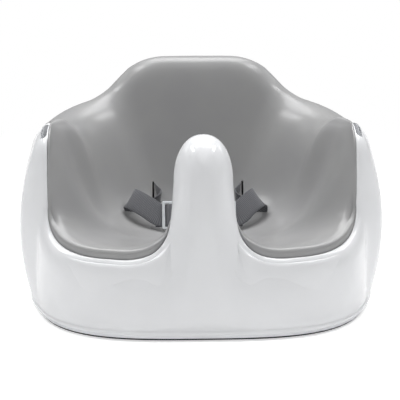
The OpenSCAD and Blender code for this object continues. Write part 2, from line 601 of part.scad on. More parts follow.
// Course of the crotch strap: up through its slot, over to the buckle, round the loop bar and back under itself.
module crotch_strap() {
    sideways = [1, 0, 0];
    under_bar = bar_back - web_thickness / 2 - 1.3;
    below_bar = -buckle_height / 2 - web_thickness / 2 - 1.3;
    color(webbing) band([
        [[0, crotch_slot_y, 24], sideways],
        [[0, crotch_slot_y, 38], sideways],
        [[0, crotch_slot_y, 55], sideways],
        [[0, crotch_slot_y + 12, 61], sideways],
        [[0, 4, 60], sideways],
        [buckle_point([0, slot_local, 8]), sideways],
        [buckle_point([0, slot_local, under_bar]), sideways],
        [buckle_point([0, below_bar, under_bar]), sideways],
        [buckle_point([0, below_bar, 5]), sideways],
        [[0, 12, 54.6], sideways],
        [[0, 2, 58], sideways]], web_width, web_thickness);
}

// ---- anchors: slotted plates that bear on the hidden side of the tub and hold the webbing's ends ----
anchor_thickness = 3;
anchor_gap = 0.4;
function tub_under(k) = under_column(k, skin_depth(), 0);
rear_columns = [for (i = [half_columns - 16 : half_columns]) tub_under(column(places[i]))];
front_column = concat(tub_under(column(places[0])), [pan_middle - [0, 0, skin_depth()]]);
// Depth of the tub's hidden side at a place and height behind the child, and its height under the front.
function tub_rear(x, z) = lookup(x, [for (c = rear_columns)
    [lookup(z, [for (p = c) [p[2], p[0]]]), lookup(z, [for (p = c) [p[2], p[1]]])]]);
function tub_front(y) = lookup(y, [for (p = front_column) [p[1], p[2]]]);

module anchor() {
    difference() {
        rounded_plate(web_width + 16, 14, 3, anchor_thickness);
        translate([0, 0, -1]) rounded_plate(web_width + 5, web_thickness + 3, 0.8, anchor_thickness + 2);
    }
}

module waist_anchor() {
    x = waist_slot_x;
    z = waist_slot_z;
    across = (tub_rear(x + 7, z) - tub_rear(x - 7, z)) / 14;
    upward = (tub_rear(x, z + 10) - tub_rear(x, z - 10)) / 20;
    translate([x, tub_rear(x, z) + anchor_gap, z]) rotate([-atan(upward), 0, atan(across)])
        rotate([0, -90, -90]) anchor();
}

module waist_anchor_right() {
    color(grey) waist_anchor();
}

module waist_anchor_left() {
    color(grey) mirror([1, 0, 0]) waist_anchor();
}

module crotch_anchor() {
    y = crotch_slot_y;
    tilt = atan((tub_front(y + 6) - tub_front(y - 6)) / 12);
    color(grey) translate([0, y, tub_front(y) - anchor_gap]) rotate([tilt, 0, 0])
        translate([0, 0, -anchor_thickness]) anchor();
}

// ---- buckle, drawn flat and then tilted to face the front ----
module in_buckle() {
    translate(buckle_place) rotate([buckle_tilt, 0, 0]) children();
}
module buckle_front() {
    color(buckle_grey) in_buckle() difference() {
        translate([0, 0, back_z + back_thickness])
            rounded_plate(buckle_width, buckle_height, 6, buckle_thickness - back_thickness);
        translate([-buckle_width, housing_bottom - buckle_height, back_z])
            cube([2 * buckle_width, buckle_height, 2 * buckle_thickness]);
        translate([-cavity_width / 2, cavity_bottom, back_z])
            cube([cavity_width, cavity_top - cavity_bottom, buckle_thickness - housing_wall]);
        translate([-buckle_width, button_middle - tongue_half - 0.3, -tongue_thickness / 2 - 0.3])
            cube([2 * buckle_width, 2 * tongue_half + 0.6, tongue_thickness + 0.6]);
        translate([0, button_middle, 0]) cylinder(r = button_radius + 0.25, h = buckle_thickness);
    }
}

module buckle_back() {
    color(buckle_grey) in_buckle() difference() {
        union() {
            translate([0, 0, back_z]) rounded_plate(buckle_width, buckle_height, 6, back_thickness);
            translate([0, 0, back_z + back_thickness / 2]) intersection() {
                rounded_plate(buckle_width, buckle_height, 6, -back_z - back_thickness / 2);
                translate([-buckle_width, -buckle_height, 0])
                    cube([2 * buckle_width, buckle_height + housing_bottom - 0.3, buckle_thickness]);
            }
            for (y = [-1, 1]) translate([-4, button_middle + y * (tongue_half - 1.5) - 1, back_z + back_thickness / 2])
                cube([8, 2, 3.2]);
        }
        translate([0, slot_local, back_z - 1])
            rounded_plate(web_width + 2.4, 2 * slot_half, 1.2, buckle_thickness + 2);
        translate([-web_width / 2 - 1.2, -buckle_height, back_z - 1])
            cube([web_width + 2.4, buckle_height + slot_local, bar_back - back_z + 1]);
    }
}

module release_button() {
    color(black) in_buckle() translate([0, button_middle, 0]) difference() {
        union() {
            cylinder(r = button_radius, h = front_z + 0.6);
            translate([0, 0, button_back]) cylinder(r = button_radius + 1.2, h = button_edge - button_back);
        }
        translate([0, 0, -1]) cylinder(r = button_radius + 2, h = button_back + 1);
        translate([0, 0, 0]) cylinder(r = 4.6, h = button_back + 1.2);
        translate([0, 0, front_z + 30.2]) sphere(r = 30);
    }
}

// ---- spring between the back cover and the button, in the space between the two tongues ----
spring_radius = 3.4;
spring_wire = 0.35;
spring_turns = 5;
module button_spring() {
    low = back_z + back_thickness + spring_wire + 0.05;
    high = button_back + 1.2 - spring_wire - 0.05;
    steps = 12 * spring_turns;
    points = [for (i = [0 : steps]) let (a = 360 * spring_turns * i / steps, z = low + (high - low) * i / steps)
        each [for (j = [0 : 5]) let (r = spring_radius + spring_wire * cos(60 * j))
            [r * cos(a), r * sin(a) + button_middle, z + spring_wire * sin(60 * j)]]];
    faces = concat([[5, 4, 3, 2, 1, 0]], [[for (j = [0 : 5]) 6 * steps + j]],
        [for (i = [0 : steps - 1], j = [0 : 5]) let (a = 6 * i + j, b = 6 * i + (j + 1) % 6)
            each [[a, b, a + 6], [b, b + 6, a + 6]]]);
    color(grey) in_buckle() polyhedron(points, faces);
}

// ---- tongue: a prong with a latch window, and a slotted frame that the waist strap is threaded through ----
module tongue() {
    frame_height = web_width + 7;
    in_buckle() translate([buckle_width / 2, 0, -tongue_thickness / 2]) difference() {
        union() {
            translate([-tongue_depth, button_middle - tongue_half, 0])
                cube([tongue_depth + 1, 2 * tongue_half, tongue_thickness]);
            translate([0.5 + frame_length / 2, 0, 0])
                rounded_plate(frame_length, frame_height, 2, tongue_thickness);
        }
        translate([3 - tongue_depth, button_middle - 3.5, -1]) cube([4, 7, tongue_thickness + 2]);
        for (x = [inner_slot, outer_slot])
            translate([x - tongue_slot / 2, -web_width / 2 - 0.8, -1])
                cube([tongue_slot, web_width + 1.6, tongue_thickness + 2]);
    }
}

module tongue_right() {
    color(buckle_grey) tongue();
}

module tongue_left() {
    color(buckle_grey) mirror([1, 0, 0]) tongue();
}

shell();
seat_liner();
base_plate();
foot_ring();
base_screws();
waist_strap_left();
waist_strap_right();
crotch_strap();
waist_anchor_left();
waist_anchor_right();
crotch_anchor();
buckle_front();
buckle_back();
release_button();
button_spring();
tongue_left();
tongue_right();
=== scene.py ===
# Baby floor seat: a glossy moulded shell with a pommel, a soft foam liner, a screwed base and a
# three-point harness. Its sizes are in millimetres until a mesh is made. The stage and its lights are in metres.
import math
from contextlib import contextmanager

import bmesh
import bpy
import numpy as np
from mathutils import Matrix, Vector
from mathutils.bvhtree import BVHTree


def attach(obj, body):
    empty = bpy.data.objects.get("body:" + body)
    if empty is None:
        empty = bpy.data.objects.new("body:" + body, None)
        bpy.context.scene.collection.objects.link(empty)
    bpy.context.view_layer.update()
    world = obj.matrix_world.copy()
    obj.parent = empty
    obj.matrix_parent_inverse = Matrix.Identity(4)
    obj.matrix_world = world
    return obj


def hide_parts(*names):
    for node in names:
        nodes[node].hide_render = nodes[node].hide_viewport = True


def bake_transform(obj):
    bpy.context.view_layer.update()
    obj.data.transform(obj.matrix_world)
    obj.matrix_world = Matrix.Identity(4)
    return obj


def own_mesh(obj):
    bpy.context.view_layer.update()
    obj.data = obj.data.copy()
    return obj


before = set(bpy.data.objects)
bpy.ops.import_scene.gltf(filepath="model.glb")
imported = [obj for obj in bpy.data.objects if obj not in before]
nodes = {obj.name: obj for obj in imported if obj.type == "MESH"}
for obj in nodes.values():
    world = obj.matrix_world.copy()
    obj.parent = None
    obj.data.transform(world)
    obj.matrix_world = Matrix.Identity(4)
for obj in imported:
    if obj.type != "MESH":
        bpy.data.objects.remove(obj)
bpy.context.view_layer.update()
mm = 0.001
print("frame loaded:", len(nodes), "nodes")


def linearColour(hexText):
    parts = [int(hexText[i:i + 2], 16) / 255 for i in (1, 3, 5)]
    linear = [c / 12.92 if c <= 0.04045 else ((c + 0.055) / 1.055) ** 2.4 for c in parts]
    return (*linear, 1.0)


def addNode(tree, kind, inputs=None, **settings):
    # Adds a node. An input is a value, a node whose first output is linked, or an output to link from.
    node = tree.nodes.new(kind)
    for name, value in settings.items():
        setattr(node, name, value)
    for key, value in (inputs or {}).items():
        if isinstance(value, (bpy.types.Node, bpy.types.NodeSocket)):
            tree.links.new(value if isinstance(value, bpy.types.NodeSocket) else value.outputs[0], node.inputs[key])
        else:
            node.inputs[key].default_value = value
    return node


def calculated(tree, operation, *values):
    return addNode(tree, "ShaderNodeMath", dict(enumerate(values)), operation=operation)


def mixed(tree, share, first, second):
    # Goes from the first colour to the second as the share goes from 0 to 1.
    return addNode(tree, "ShaderNodeMix", {0: share, 6: first, 7: second}, data_type="RGBA").outputs[2]


def spread(tree, value, low, high, toLow=0.0, toHigh=1.0, **settings):
    # Carries a value from the first range to the second.
    return addNode(tree, "ShaderNodeMapRange", {
        "Value": value, "From Min": low, "From Max": high, "To Min": toLow, "To Max": toHigh}, **settings)


def unit(vector):
    vector = np.asarray(vector, float)
    return vector / np.linalg.norm(vector)


def sineAndCosine(degrees):
    return math.sin(math.radians(degrees)), math.cos(math.radians(degrees))


def squared(degrees, x, y, power):
    # The point at an angle from the front on an ellipse with half axes x and y, squared off by the power.
    s, c = sineAndCosine(degrees)
    r = (abs(s / x) ** power + abs(c / y) ** power) ** (-1 / power)
    return r * s, r * c


def ease(t):
    u = min(1.0, max(0.0, t))
    return u * u * (3 - 2 * u)


def ramp(x, low, high):
    # Eases from 0 at low to 1 at high.
    return ease((x - low) / (high - low))


def eased(x, stations):
    value = stations[0][1]
    for (x0, v0), (x1, v1) in zip(stations, stations[1:]):
        value += (v1 - v0) * ramp(x, x0, x1)
    return value


def corner(a, b, c, steps):
    # A rounded corner at b, between a and c.
    a, b, c = (np.asarray(p, float) for p in (a, b, c))
    return [(1 - t) ** 2 * a + 2 * t * (1 - t) * b + t * t * c for t in np.linspace(0, 1, steps + 1)]


def between(a, b, steps):
    # Points inside the straight run from a to b.
    return [a + (b - a) * i / steps for i in range(1, steps)]


def toward(a, b, distance, share=0.85):
    # From a by a distance toward b, but at most by that share of the way.
    return a + unit(b - a) * min(distance, np.linalg.norm(b - a) * share)


materials = {}


def newMaterial(name, colour, roughness, ior=1.5, metallic=0.0, sheen=0.0):
    material = bpy.data.materials.new(name)
    material.use_nodes = True
    tree = material.node_tree
    shader = tree.nodes["Principled BSDF"]
    values = {"Base Color": linearColour(colour), "Roughness": roughness, "IOR": ior, "Metallic": metallic,
              "Sheen Weight": sheen}
    for key, value in values.items():
        shader.inputs[key].default_value = value
    materials[name] = material
    return tree, shader


def noiseSpread(tree, coordinates, size, detail, low=0.0, high=1.0):
    # Noise with patches of the given size in millimetres, spread from low to high.
    noise = addNode(tree, "ShaderNodeTexNoise", {"Vector": coordinates, "Scale": 1000 / size, "Detail": detail})
    return spread(tree, noise, 0.3, 0.7, low, high)


def bump(tree, shader, height, depth, strength, under=None):
    # A bump of the given depth in millimetres, over any bump made before it.
    inputs = {"Height": height, "Distance": depth * mm, "Strength": strength}
    if under:
        inputs["Normal"] = under
    node = addNode(tree, "ShaderNodeBump", inputs)
    tree.links.new(node.outputs[0], shader.inputs["Normal"])
    return node


def objectPlace(tree):
    return addNode(tree, "ShaderNodeTexCoord").outputs["Object"]


# Each finish has its colour, roughness and index, and what varies over it, with sizes and depths in millimetres:
# mottle is two near colours, the size of a patch and its detail, gloss is the least and most roughness and the size
# of a patch, and grain is the size, detail, depth and strength of each bump.
finishes = {
    # Polypropylene, injection moulded in a polished tool: a wide soft gloss with a faint ripple where it cooled.
    "glossPolypropylene": {"base": ("#E0E1E3", 0.16, 1.49), "mottle": ("#DEDFE1", "#E2E3E5", 60, 3.0),
                           "gloss": (0.13, 0.21, 24), "grain": [(16, 1.0, 0.02, 1.0), (2.6, 2.0, 0.003, 1.0)]},
    # Polyurethane foam, self-skinned in its mould: a soft satin skin with a very fine grain.
    "skinnedFoam": {"base": ("#979798", 0.28, 1.5), "mottle": ("#969697", "#999999", 40, 2.0),
                    "gloss": (0.28, 0.3, 30), "grain": [(1.3, 1.0, 0.006, 0.5)]},
    # Polypropylene, spark-textured tool: matt, with a fine even speckle.
    "sparkTexturedPolypropylene": {"base": ("#E0E1E4", 0.55, 1.49), "mottle": ("#DBDCDF", "#E5E6E9", 22, 3.0),
                                   "grain": [(0.9, 2.0, 0.05, 1.0)]},
    # Thermoplastic rubber, moulded: nearly black, dusty where it meets the floor.
    "mouldedRubber": {"base": ("#222325", 0.75, 1.5), "sheen": 0.1, "mottle": ("#1F2022", "#2C2D30", 7, 6.0),
                      "grain": [(1.2, 3.0, 0.08, 1.0)]},
    # Steel screws, zinc plated: a dull bluish white with a cloudy finish.
    "zincPlatedSteel": {"base": ("#A9ABAE", 0.38, 1.5), "metallic": 1.0, "mottle": ("#9EA0A4", "#B5B7BA", 1.4, 3.0),
                        "gloss": (0.3, 0.5, 1.0)},
    # Spring wire, drawn and tempered: bright along the wire.
    "springWire": {"base": ("#C4C5C7", 0.24, 1.5), "metallic": 1.0, "gloss": (0.18, 0.34, 0.5)},
    # Nylon anchors, moulded: satin with a light grain.
    "mouldedNylon": {"base": ("#96979A", 0.45, 1.53), "mottle": ("#929396", "#9C9DA0", 6, 3.0),
                     "grain": [(0.7, 2.0, 0.03, 1.0)]},
    # Acetal buckle, moulded: smooth and waxy, a little worn on its edges.
    "acetal": {"base": ("#A7A9AC", 0.34, 1.48), "mottle": ("#A3A5A8", "#AEB0B3", 9, 3.0), "gloss": (0.28, 0.42, 3),
               "grain": [(0.6, 2.0, 0.012, 1.0)]},
    # Acetal tongues, moulded in a paler stock, glossy where the webbing rubs them.
    "paleAcetal": {"base": ("#C9CDD0", 0.26, 1.48), "mottle": ("#C3C8CC", "#D2D5D7", 8, 3.0), "gloss": (0.2, 0.34, 3)},
    # Button, moulded: darker and smoother than the housing.
    "darkAcetal": {"base": ("#6C6E72", 0.3, 1.48), "mottle": ("#67696D", "#727478", 5, 3.0), "gloss": (0.24, 0.36, 2)},
}
for name, finish in finishes.items():
    tree, shader = newMaterial(name, *finish["base"], finish.get("metallic", 0.0), finish.get("sheen", 0.0))
    place = objectPlace(tree)
    if "mottle" in finish:
        first, second, size, detail = finish["mottle"]
        mix = mixed(tree, noiseSpread(tree, place, size, detail), linearColour(first), linearColour(second))
        tree.links.new(mix, shader.inputs["Base Color"])
    if "gloss" in finish:
        low, high, size = finish["gloss"]
        tree.links.new(noiseSpread(tree, place, size, 4.0, low, high).outputs[0], shader.inputs["Roughness"])
    under = None
    for size, detail, depth, strength in finish.get("grain", ()):
        noise = addNode(tree, "ShaderNodeTexNoise", {"Vector": place, "Scale": 1000 / size, "Detail": detail})
        under = bump(tree, shader, noise, depth, strength, under)

# Polyester webbing, woven: ribs across it at each pick, split lengthwise into warp ends, and a firm selvedge.
# The real ends are about 0.4 mm apart. They are drawn 1.25 mm apart, because finer ones would not show.
# Threads' sizes in millimetres: selvedge is where it starts and is whole, from the band's edge. The thread, fuzz and
# firm values are shares.
# The gap and top colours are painted shade down in the weave's gaps and painted light on its threads' tops.
weaveForm = {"pick": 1.6, "end": 1.25, "depth": 0.28, "halfWidth": 12.5, "selvedge": (2.2, 1.4), "firm": 0.55,
             "fuzz": 0.3, "fuzzScale": 2.4, "thread": (0.1, 1.1), "bump": 0.8, "gap": "#4B4C50", "top": "#7F8084",
             "edge": "#55565A"}
tree, shader = newMaterial("wovenPolyester", "#6A6B6E", 0.72, sheen=0.35)
shader.inputs["Sheen Roughness"].default_value = 0.4
weave = addNode(tree, "ShaderNodeAttribute", attribute_name="weave").outputs["Vector"]
parts = addNode(tree, "ShaderNodeSeparateXYZ", {0: weave})


def wave(tree, value, size, shift=0.0):
    # A smooth wave from 0 to 1 that repeats at the given size.
    turn = calculated(tree, "MULTIPLY_ADD", value, 2 * math.pi / size, shift)
    return calculated(tree, "MULTIPLY_ADD", calculated(tree, "SINE", turn), 0.5, 0.5)


along, acrossWeb = parts.outputs["X"], parts.outputs["Y"]
rowNumber = calculated(tree, "FLOOR", calculated(tree, "MULTIPLY", along, 1 / weaveForm["pick"]))
stagger = calculated(tree, "MULTIPLY_ADD", rowNumber, weaveForm["end"] / 2, acrossWeb)
cloth = calculated(tree, "MULTIPLY", wave(tree, along, weaveForm["pick"], -math.pi / 2),
                   wave(tree, stagger, weaveForm["end"]))
fuzz = addNode(tree, "ShaderNodeTexNoise", {"Vector": weave, "Scale": weaveForm["fuzzScale"], "Detail": 4.0})
thread = calculated(tree, "MULTIPLY_ADD", fuzz, weaveForm["fuzz"], cloth)
# Painted shade and light: the colour follows the weave's height, from the dark gap grey in the hollows to the light
# top grey on the threads, with random fuzz mixed in.
shade = spread(tree, thread, *weaveForm["thread"])
woven = mixed(tree, shade, linearColour(weaveForm["gap"]), linearColour(weaveForm["top"]))
selvedge = spread(tree, calculated(tree, "ABSOLUTE", acrossWeb),
                  *(weaveForm["halfWidth"] - inset for inset in weaveForm["selvedge"]), 0.0, weaveForm["firm"])
tree.links.new(mixed(tree, selvedge, woven, linearColour(weaveForm["edge"])), shader.inputs["Base Color"])
bump(tree, shader, thread, weaveForm["depth"], weaveForm["bump"])

print("materials made:", len(materials))


def newObject(name, mesh):
    thing = bpy.data.objects.new(name, mesh)
    bpy.context.scene.collection.objects.link(thing)
    return thing


def meshFrom(name, points, faces):
    mesh = bpy.data.meshes.new(name)
    mesh.from_pydata([tuple(p) for p in points], [], faces)
    mesh.validate()
    return mesh


def modified(thing):
    # The thing's mesh with its modifiers applied, and the modifiers gone.
    bpy.context.view_layer.update()
    graph = bpy.context.evaluated_depsgraph_get()
    mesh = bpy.data.meshes.new_from_object(thing.evaluated_get(graph))
    thing.modifiers.clear()
    thing.data = mesh
    return thing


@contextmanager
def editing(mesh):
    # Opens a mesh for editing and writes it back.
    build = bmesh.new()
    build.from_mesh(mesh)
    yield build
    build.to_mesh(mesh)
    build.free()


def shadeByAngle(mesh, degrees):
    # Smooth, except at edges sharper than the angle.
    limit = math.radians(degrees)
    with editing(mesh) as build:
        for face in build.faces:
            face.smooth = True
        for line in build.edges:
            line.smooth = len(line.link_faces) == 2 and line.calc_face_angle(0) < limit


def pointOutwards(mesh):
    with editing(mesh) as build:
        bmesh.ops.recalc_face_normals(build, faces=build.faces)


def paint(thing, material):
    thing.data.materials.clear()
    thing.data.materials.append(materials[material])


def finishPiece(thing, body, material, node):
    paint(thing, material)
    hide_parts(node)
    if body:
        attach(thing, body)


def runTree(name, mesh, tree, values):
    # Sends a mesh through a node tree and keeps what comes out as a plain mesh object.
    thing = newObject(name, mesh)
    modifier = thing.modifiers.new("form", "NODES")
    modifier.node_group = tree
    for item in tree.interface.items_tree:
        if item.name in values:
            modifier[item.identifier] = values[item.name]
    return modified(thing)


def newTree(name, sizes):
    # A node tree with a geometry input and output and one named number for each size.
    tree = bpy.data.node_groups.new(name, "GeometryNodeTree")
    tree.interface.new_socket("Geometry", in_out="INPUT", socket_type="NodeSocketGeometry")
    for size, value in sizes.items():
        kind = "NodeSocketMaterial" if isinstance(value, bpy.types.Material) else "NodeSocketFloat"
        tree.interface.new_socket(size, in_out="INPUT", socket_type=kind).default_value = value
    tree.interface.new_socket("Geometry", in_out="OUTPUT", socket_type="NodeSocketGeometry")
    return tree, addNode(tree, "NodeGroupInput").outputs


def closeTree(tree, geometry, material):
    # Every tree ends in real geometry with its material.
    real = addNode(tree, "GeometryNodeRealizeInstances", {"Geometry": geometry})
    painted = addNode(tree, "GeometryNodeSetMaterial", {"Geometry": real, "Material": material})
    addNode(tree, "NodeGroupOutput", {"Geometry": painted})


# The outline of the shell, by the angle from the front.
outlineForm = {"width": 354, "depth": 326, "square": 3.25, "steps": 720}
# How far the wall leans in at the front, sides and rear: the lean at a height, that height and its curve. The angles
# are those between which the side's lean goes over into the front's and the rear's.
leanForm = {"front": (27, 190, 1.15), "side": (9.5, 177, 1.7), "rear": (12, 210, 1.6), "from": 5,
            "frontAngles": (52, 16), "rearAngles": (100, 155)}
# The sides swell out again between these places along Y.
swellForm = {"depth": 14.5, "height": 180, "curve": 0.9, "front": (-95, -69), "rear": (150, 0)}
halfWidth = outlineForm["width"] / 2
halfDepth = outlineForm["depth"] / 2


def outline(angle):
    x, y = squared(angle, halfWidth, halfDepth, outlineForm["square"])
    return np.array([x, -y])


def inward(p):
    power = outlineForm["square"] - 1
    x = math.copysign((abs(p[0]) / halfWidth) ** power / halfWidth, p[0])
    y = math.copysign((abs(p[1]) / halfDepth) ** power / halfDepth, p[1])
    return -unit([x, y])


outlineAngles = np.linspace(0, 180, outlineForm["steps"] + 1)
outlinePoints = np.array([outline(a) for a in outlineAngles])
outlineRun = np.concatenate([[0], np.cumsum(np.linalg.norm(np.diff(outlinePoints, axis=0), axis=1))])
sideRun = np.interp(90, outlineAngles, outlineRun)
rearRun = outlineRun[-1]


def lean(name, height):
    most, atHeight, curve = leanForm[name]
    return most * (height / atHeight) ** curve


def wallShift(angle, y, z):
    height = max(z - leanForm["from"], 0)
    front, rear = ramp(angle, *leanForm["frontAngles"]), ramp(angle, *leanForm["rearAngles"])
    upright = min(1, max(0, z / swellForm["height"]))
    swell = swellForm["depth"] * ramp(y, *swellForm["front"]) * ramp(y, *swellForm["rear"])
    swell *= max(0, math.sin(math.pi * upright)) ** swellForm["curve"]
    return (lean("front", height) * front + lean("side", height) * (1 - front) * (1 - rear)
            + lean("rear", height) * rear - swell)


def wall(run, z, inset=0.0):
    angle = np.interp(run, outlineRun, outlineAngles)
    p = outline(angle)
    q = p + inward(p) * (wallShift(angle, p[1], z) + inset)
    return np.array([q[0], q[1], z])


# The crest of the rim, as a run round the wall and a height: over the leg, the arm, the shoulder and the back.
rimForm = {"leg": 76.5, "arm": 187, "shoulder": 168, "back": 213, "armReach": 93, "backHalf": 129,
           "lipThickness": 20, "lipRound": 19, "wall": 3, "steps": 40, "sharp": 38}
pommelForm = {"height": 192, "width": 59, "depth": 52, "dome": 45, "curve": 0.91, "seam": 104, "reach": 60,
              "fan": 85}
armRun = sideRun - rimForm["armReach"]
pommelSide = pommelForm["width"] / 2
leg, arm, shoulder, backTop = rimForm["leg"], rimForm["arm"], rimForm["shoulder"], rimForm["back"]
backStart = rearRun - rimForm["backHalf"]
footRun, lipRun, topRun = pommelSide + 54, armRun - 66, armRun + 40  # the pommel's foot, the lip's end, the arm's top

domeAngles = np.radians(np.linspace(0, 90, rimForm["steps"] + 1))
domeBase, domeCurve = pommelForm["height"] - pommelForm["dome"], pommelForm["curve"]
crest = [np.array([pommelSide * max(0, math.sin(a)) ** domeCurve,
                   domeBase + pommelForm["dome"] * max(0, math.cos(a)) ** domeCurve]) for a in domeAngles]
# Each bend starts at its first point, rounds its second and ends at its third.
crestBends = [([pommelSide + 3, leg + 31], [pommelSide + 8, leg - 0.3], [footRun, leg]),
              ([armRun - 100, leg + 0.5], [armRun - 6, leg], [armRun - 3, leg + 40]),
              ([armRun + 3, arm - 26], [armRun + 7, arm - 1], [topRun, arm]),
              ([sideRun - 55, arm - 0.5], [sideRun - 35, arm - 1], [sideRun + 30, shoulder + 1]),
              ([backStart - 20, shoulder], [backStart, shoulder], [backStart + 14, shoulder + 9]),
              ([backStart + 38, backTop - 15], [backStart + 59, backTop - 1], [backStart + 86, backTop])]
for bend in crestBends:
    crest += corner(*bend, rimForm["steps"])
crest = np.array(crest + [np.array([rearRun, backTop + 0.3])])
crestRun = np.concatenate([[0], np.cumsum(np.linalg.norm(np.diff(crest, axis=0), axis=1))])
endPlace = crestRun[-1]
firstBend = 2 * rimForm["steps"] + 2
seamPlace = np.interp(-pommelForm["seam"], -crest[:firstBend, 1], crestRun[:firstBend])
# Where the seam lies on the rounded lip, in degrees from its crest: 90 would be its outer side.
seamAngles = [(lipRun, -8), (armRun, 3), (armRun + 45, -15), (sideRun + 5, -15), (sideRun + 55, 60)]
seamWidth = np.interp(seamPlace, crestRun, crest[:, 0]) - pommelSide * (1 - math.cos(math.radians(seamAngles[0][1])))


def placeOf(run):
    return np.interp(run, crest[:, 0], crestRun)


footPlace, lipPlace, armPlace = placeOf(footRun), placeOf(lipRun), placeOf(topRun)
crestWall = np.array([wall(*p) for p in crest])
crestStart, crestStep = crestWall[:-1], np.diff(crestWall, axis=0)
crestStepSquare = np.maximum((crestStep ** 2).sum(1), 1e-9)


def fromCrest(run, z):
    p = wall(run, z)
    t = np.clip(((p - crestStart) * crestStep).sum(1) / crestStepSquare, 0, 1)
    return np.sqrt((((p - crestStart) - crestStep * t[:, None]) ** 2).sum(1).min())


def rounding(distance, depth, radius):
    return 0.0 if distance >= radius else depth * (1 - math.sqrt(max(0.0, 1 - (1 - distance / radius) ** 2)))


# Sections of the seat stand on the crest, from the pommel round to the middle of the back.
finer = 6  # how many sections each of the counted steps is cut into
sectionCounts = [(0, seamPlace, 9), (seamPlace, footPlace, 4), (footPlace, lipPlace, 2), (lipPlace, armPlace, 8),
                 (armPlace, endPlace, 13)]
places = [a + (b - a) * i / (n * finer) for a, b, n in sectionCounts for i in range(n * finer)] + [endPlace]
# The pan is a rounded bowl. Its corner's place is given by an angle from the front for each place on the crest, and
# its rise above the middle by that angle.
panForm = {"middle": np.array([0.0, 20.0, 40.0]), "centre": 15, "halfWidth": 114, "front": 88, "rear": 70,
           "square": 2.3, "rise": [(0, 18), (15, 22), (45, 20), (80, 10), (110, 6), (180, 4)]}
panAngles = ([0, seamPlace, footPlace, lipPlace, placeOf(armRun - 5), placeOf(armRun + 7), armPlace, endPlace],
             [0, 20, 36, 48, 58, 66, 86, 180])
# The liner stands on a ledge at least this far below the seam, which drops further as the rim climbs behind it.
linerForm = {"thickness": 12, "gap": 0.45, "least": 1.5, "climb": 2.2, "legRoll": 9, "shoulderRoll": 4, "backRoll": 17,
             "sharp": 50}
# The liner's roll beside the seam: each size at the pommel's top, at its side, and then by the run round the wall.
rollForm = {
    "rise": (2, 4, [(pommelSide + 22, linerForm["legRoll"]), (armRun - 30, linerForm["legRoll"]), (armRun, 3),
                    (sideRun - 30, 2), (sideRun + 45, linerForm["shoulderRoll"]),
                    (backStart + 35, linerForm["backRoll"])]),
    "width": (7, 8, [(pommelSide + 22, 14), (armRun - 30, 14), (armRun, 10), (sideRun - 40, 16), (sideRun + 20, 36),
                     (backStart - 30, 38), (backStart + 20, 24)]),
    "shoulderCut": (2, 4, [(pommelSide + 30, 8), (armRun - 30, 8), (armRun, 3), (sideRun - 40, 3),
                           (sideRun + 45, 13)]),
    "rollCut": (6, 8, [(pommelSide + 30, 16), (armRun - 30, 16), (armRun + 20, 16), (sideRun - 20, 40),
                       (sideRun + 45, 46), (backStart - 30, 42), (backStart + 30, 20)])}
# The liner's rounded corners, as the share of a straight that each may take up: the shoulder beside the seam, the
# roll's two sides and the pan's two sides. Those below are smaller. The ledge is at least this wide, and ends at least
# the spare before the pan.
bendForm = {"shoulder": 0.4, "roll": (0.9, 0.45), "pan": (0.5, 0.6), "under": 0.7, "steps": 8, "underSteps": 4,
            "floorSteps": 14, "ledge": 2.5, "spare": 3}
# The wall's bottom bead, as height above the base and how far it stands in, and steps up the wall and lip.
skinForm = {"base": 6, "bead": [(0, -0.5), (0.5, -1.1), (1.5, -1.3), (3, -1.25), (3.8, -0.9), (4.3, -0.3), (5, 0)],
            "start": 0.05, "wallSteps": 26, "lipSteps": 18, "innerSteps": 20}
# The hollow between the skins has its points at these shares of the way up outside and down inside. Round the arms it
# goes over from following the crest to staying below the liner's ledge, between the two runs of drop.
hollowForm = {"spare": 0.4, "least": 0.6, "outer": (0, 0.15, 0.3, 0.45, 0.6, 0.7, 0.8, 0.87, 0.92, 0.96, 0.98),
              "inner": (0.5, 0.65, 0.8, 0.9, 1), "drop": (sideRun - 40, sideRun + 45), "hurry": 80 / 30}


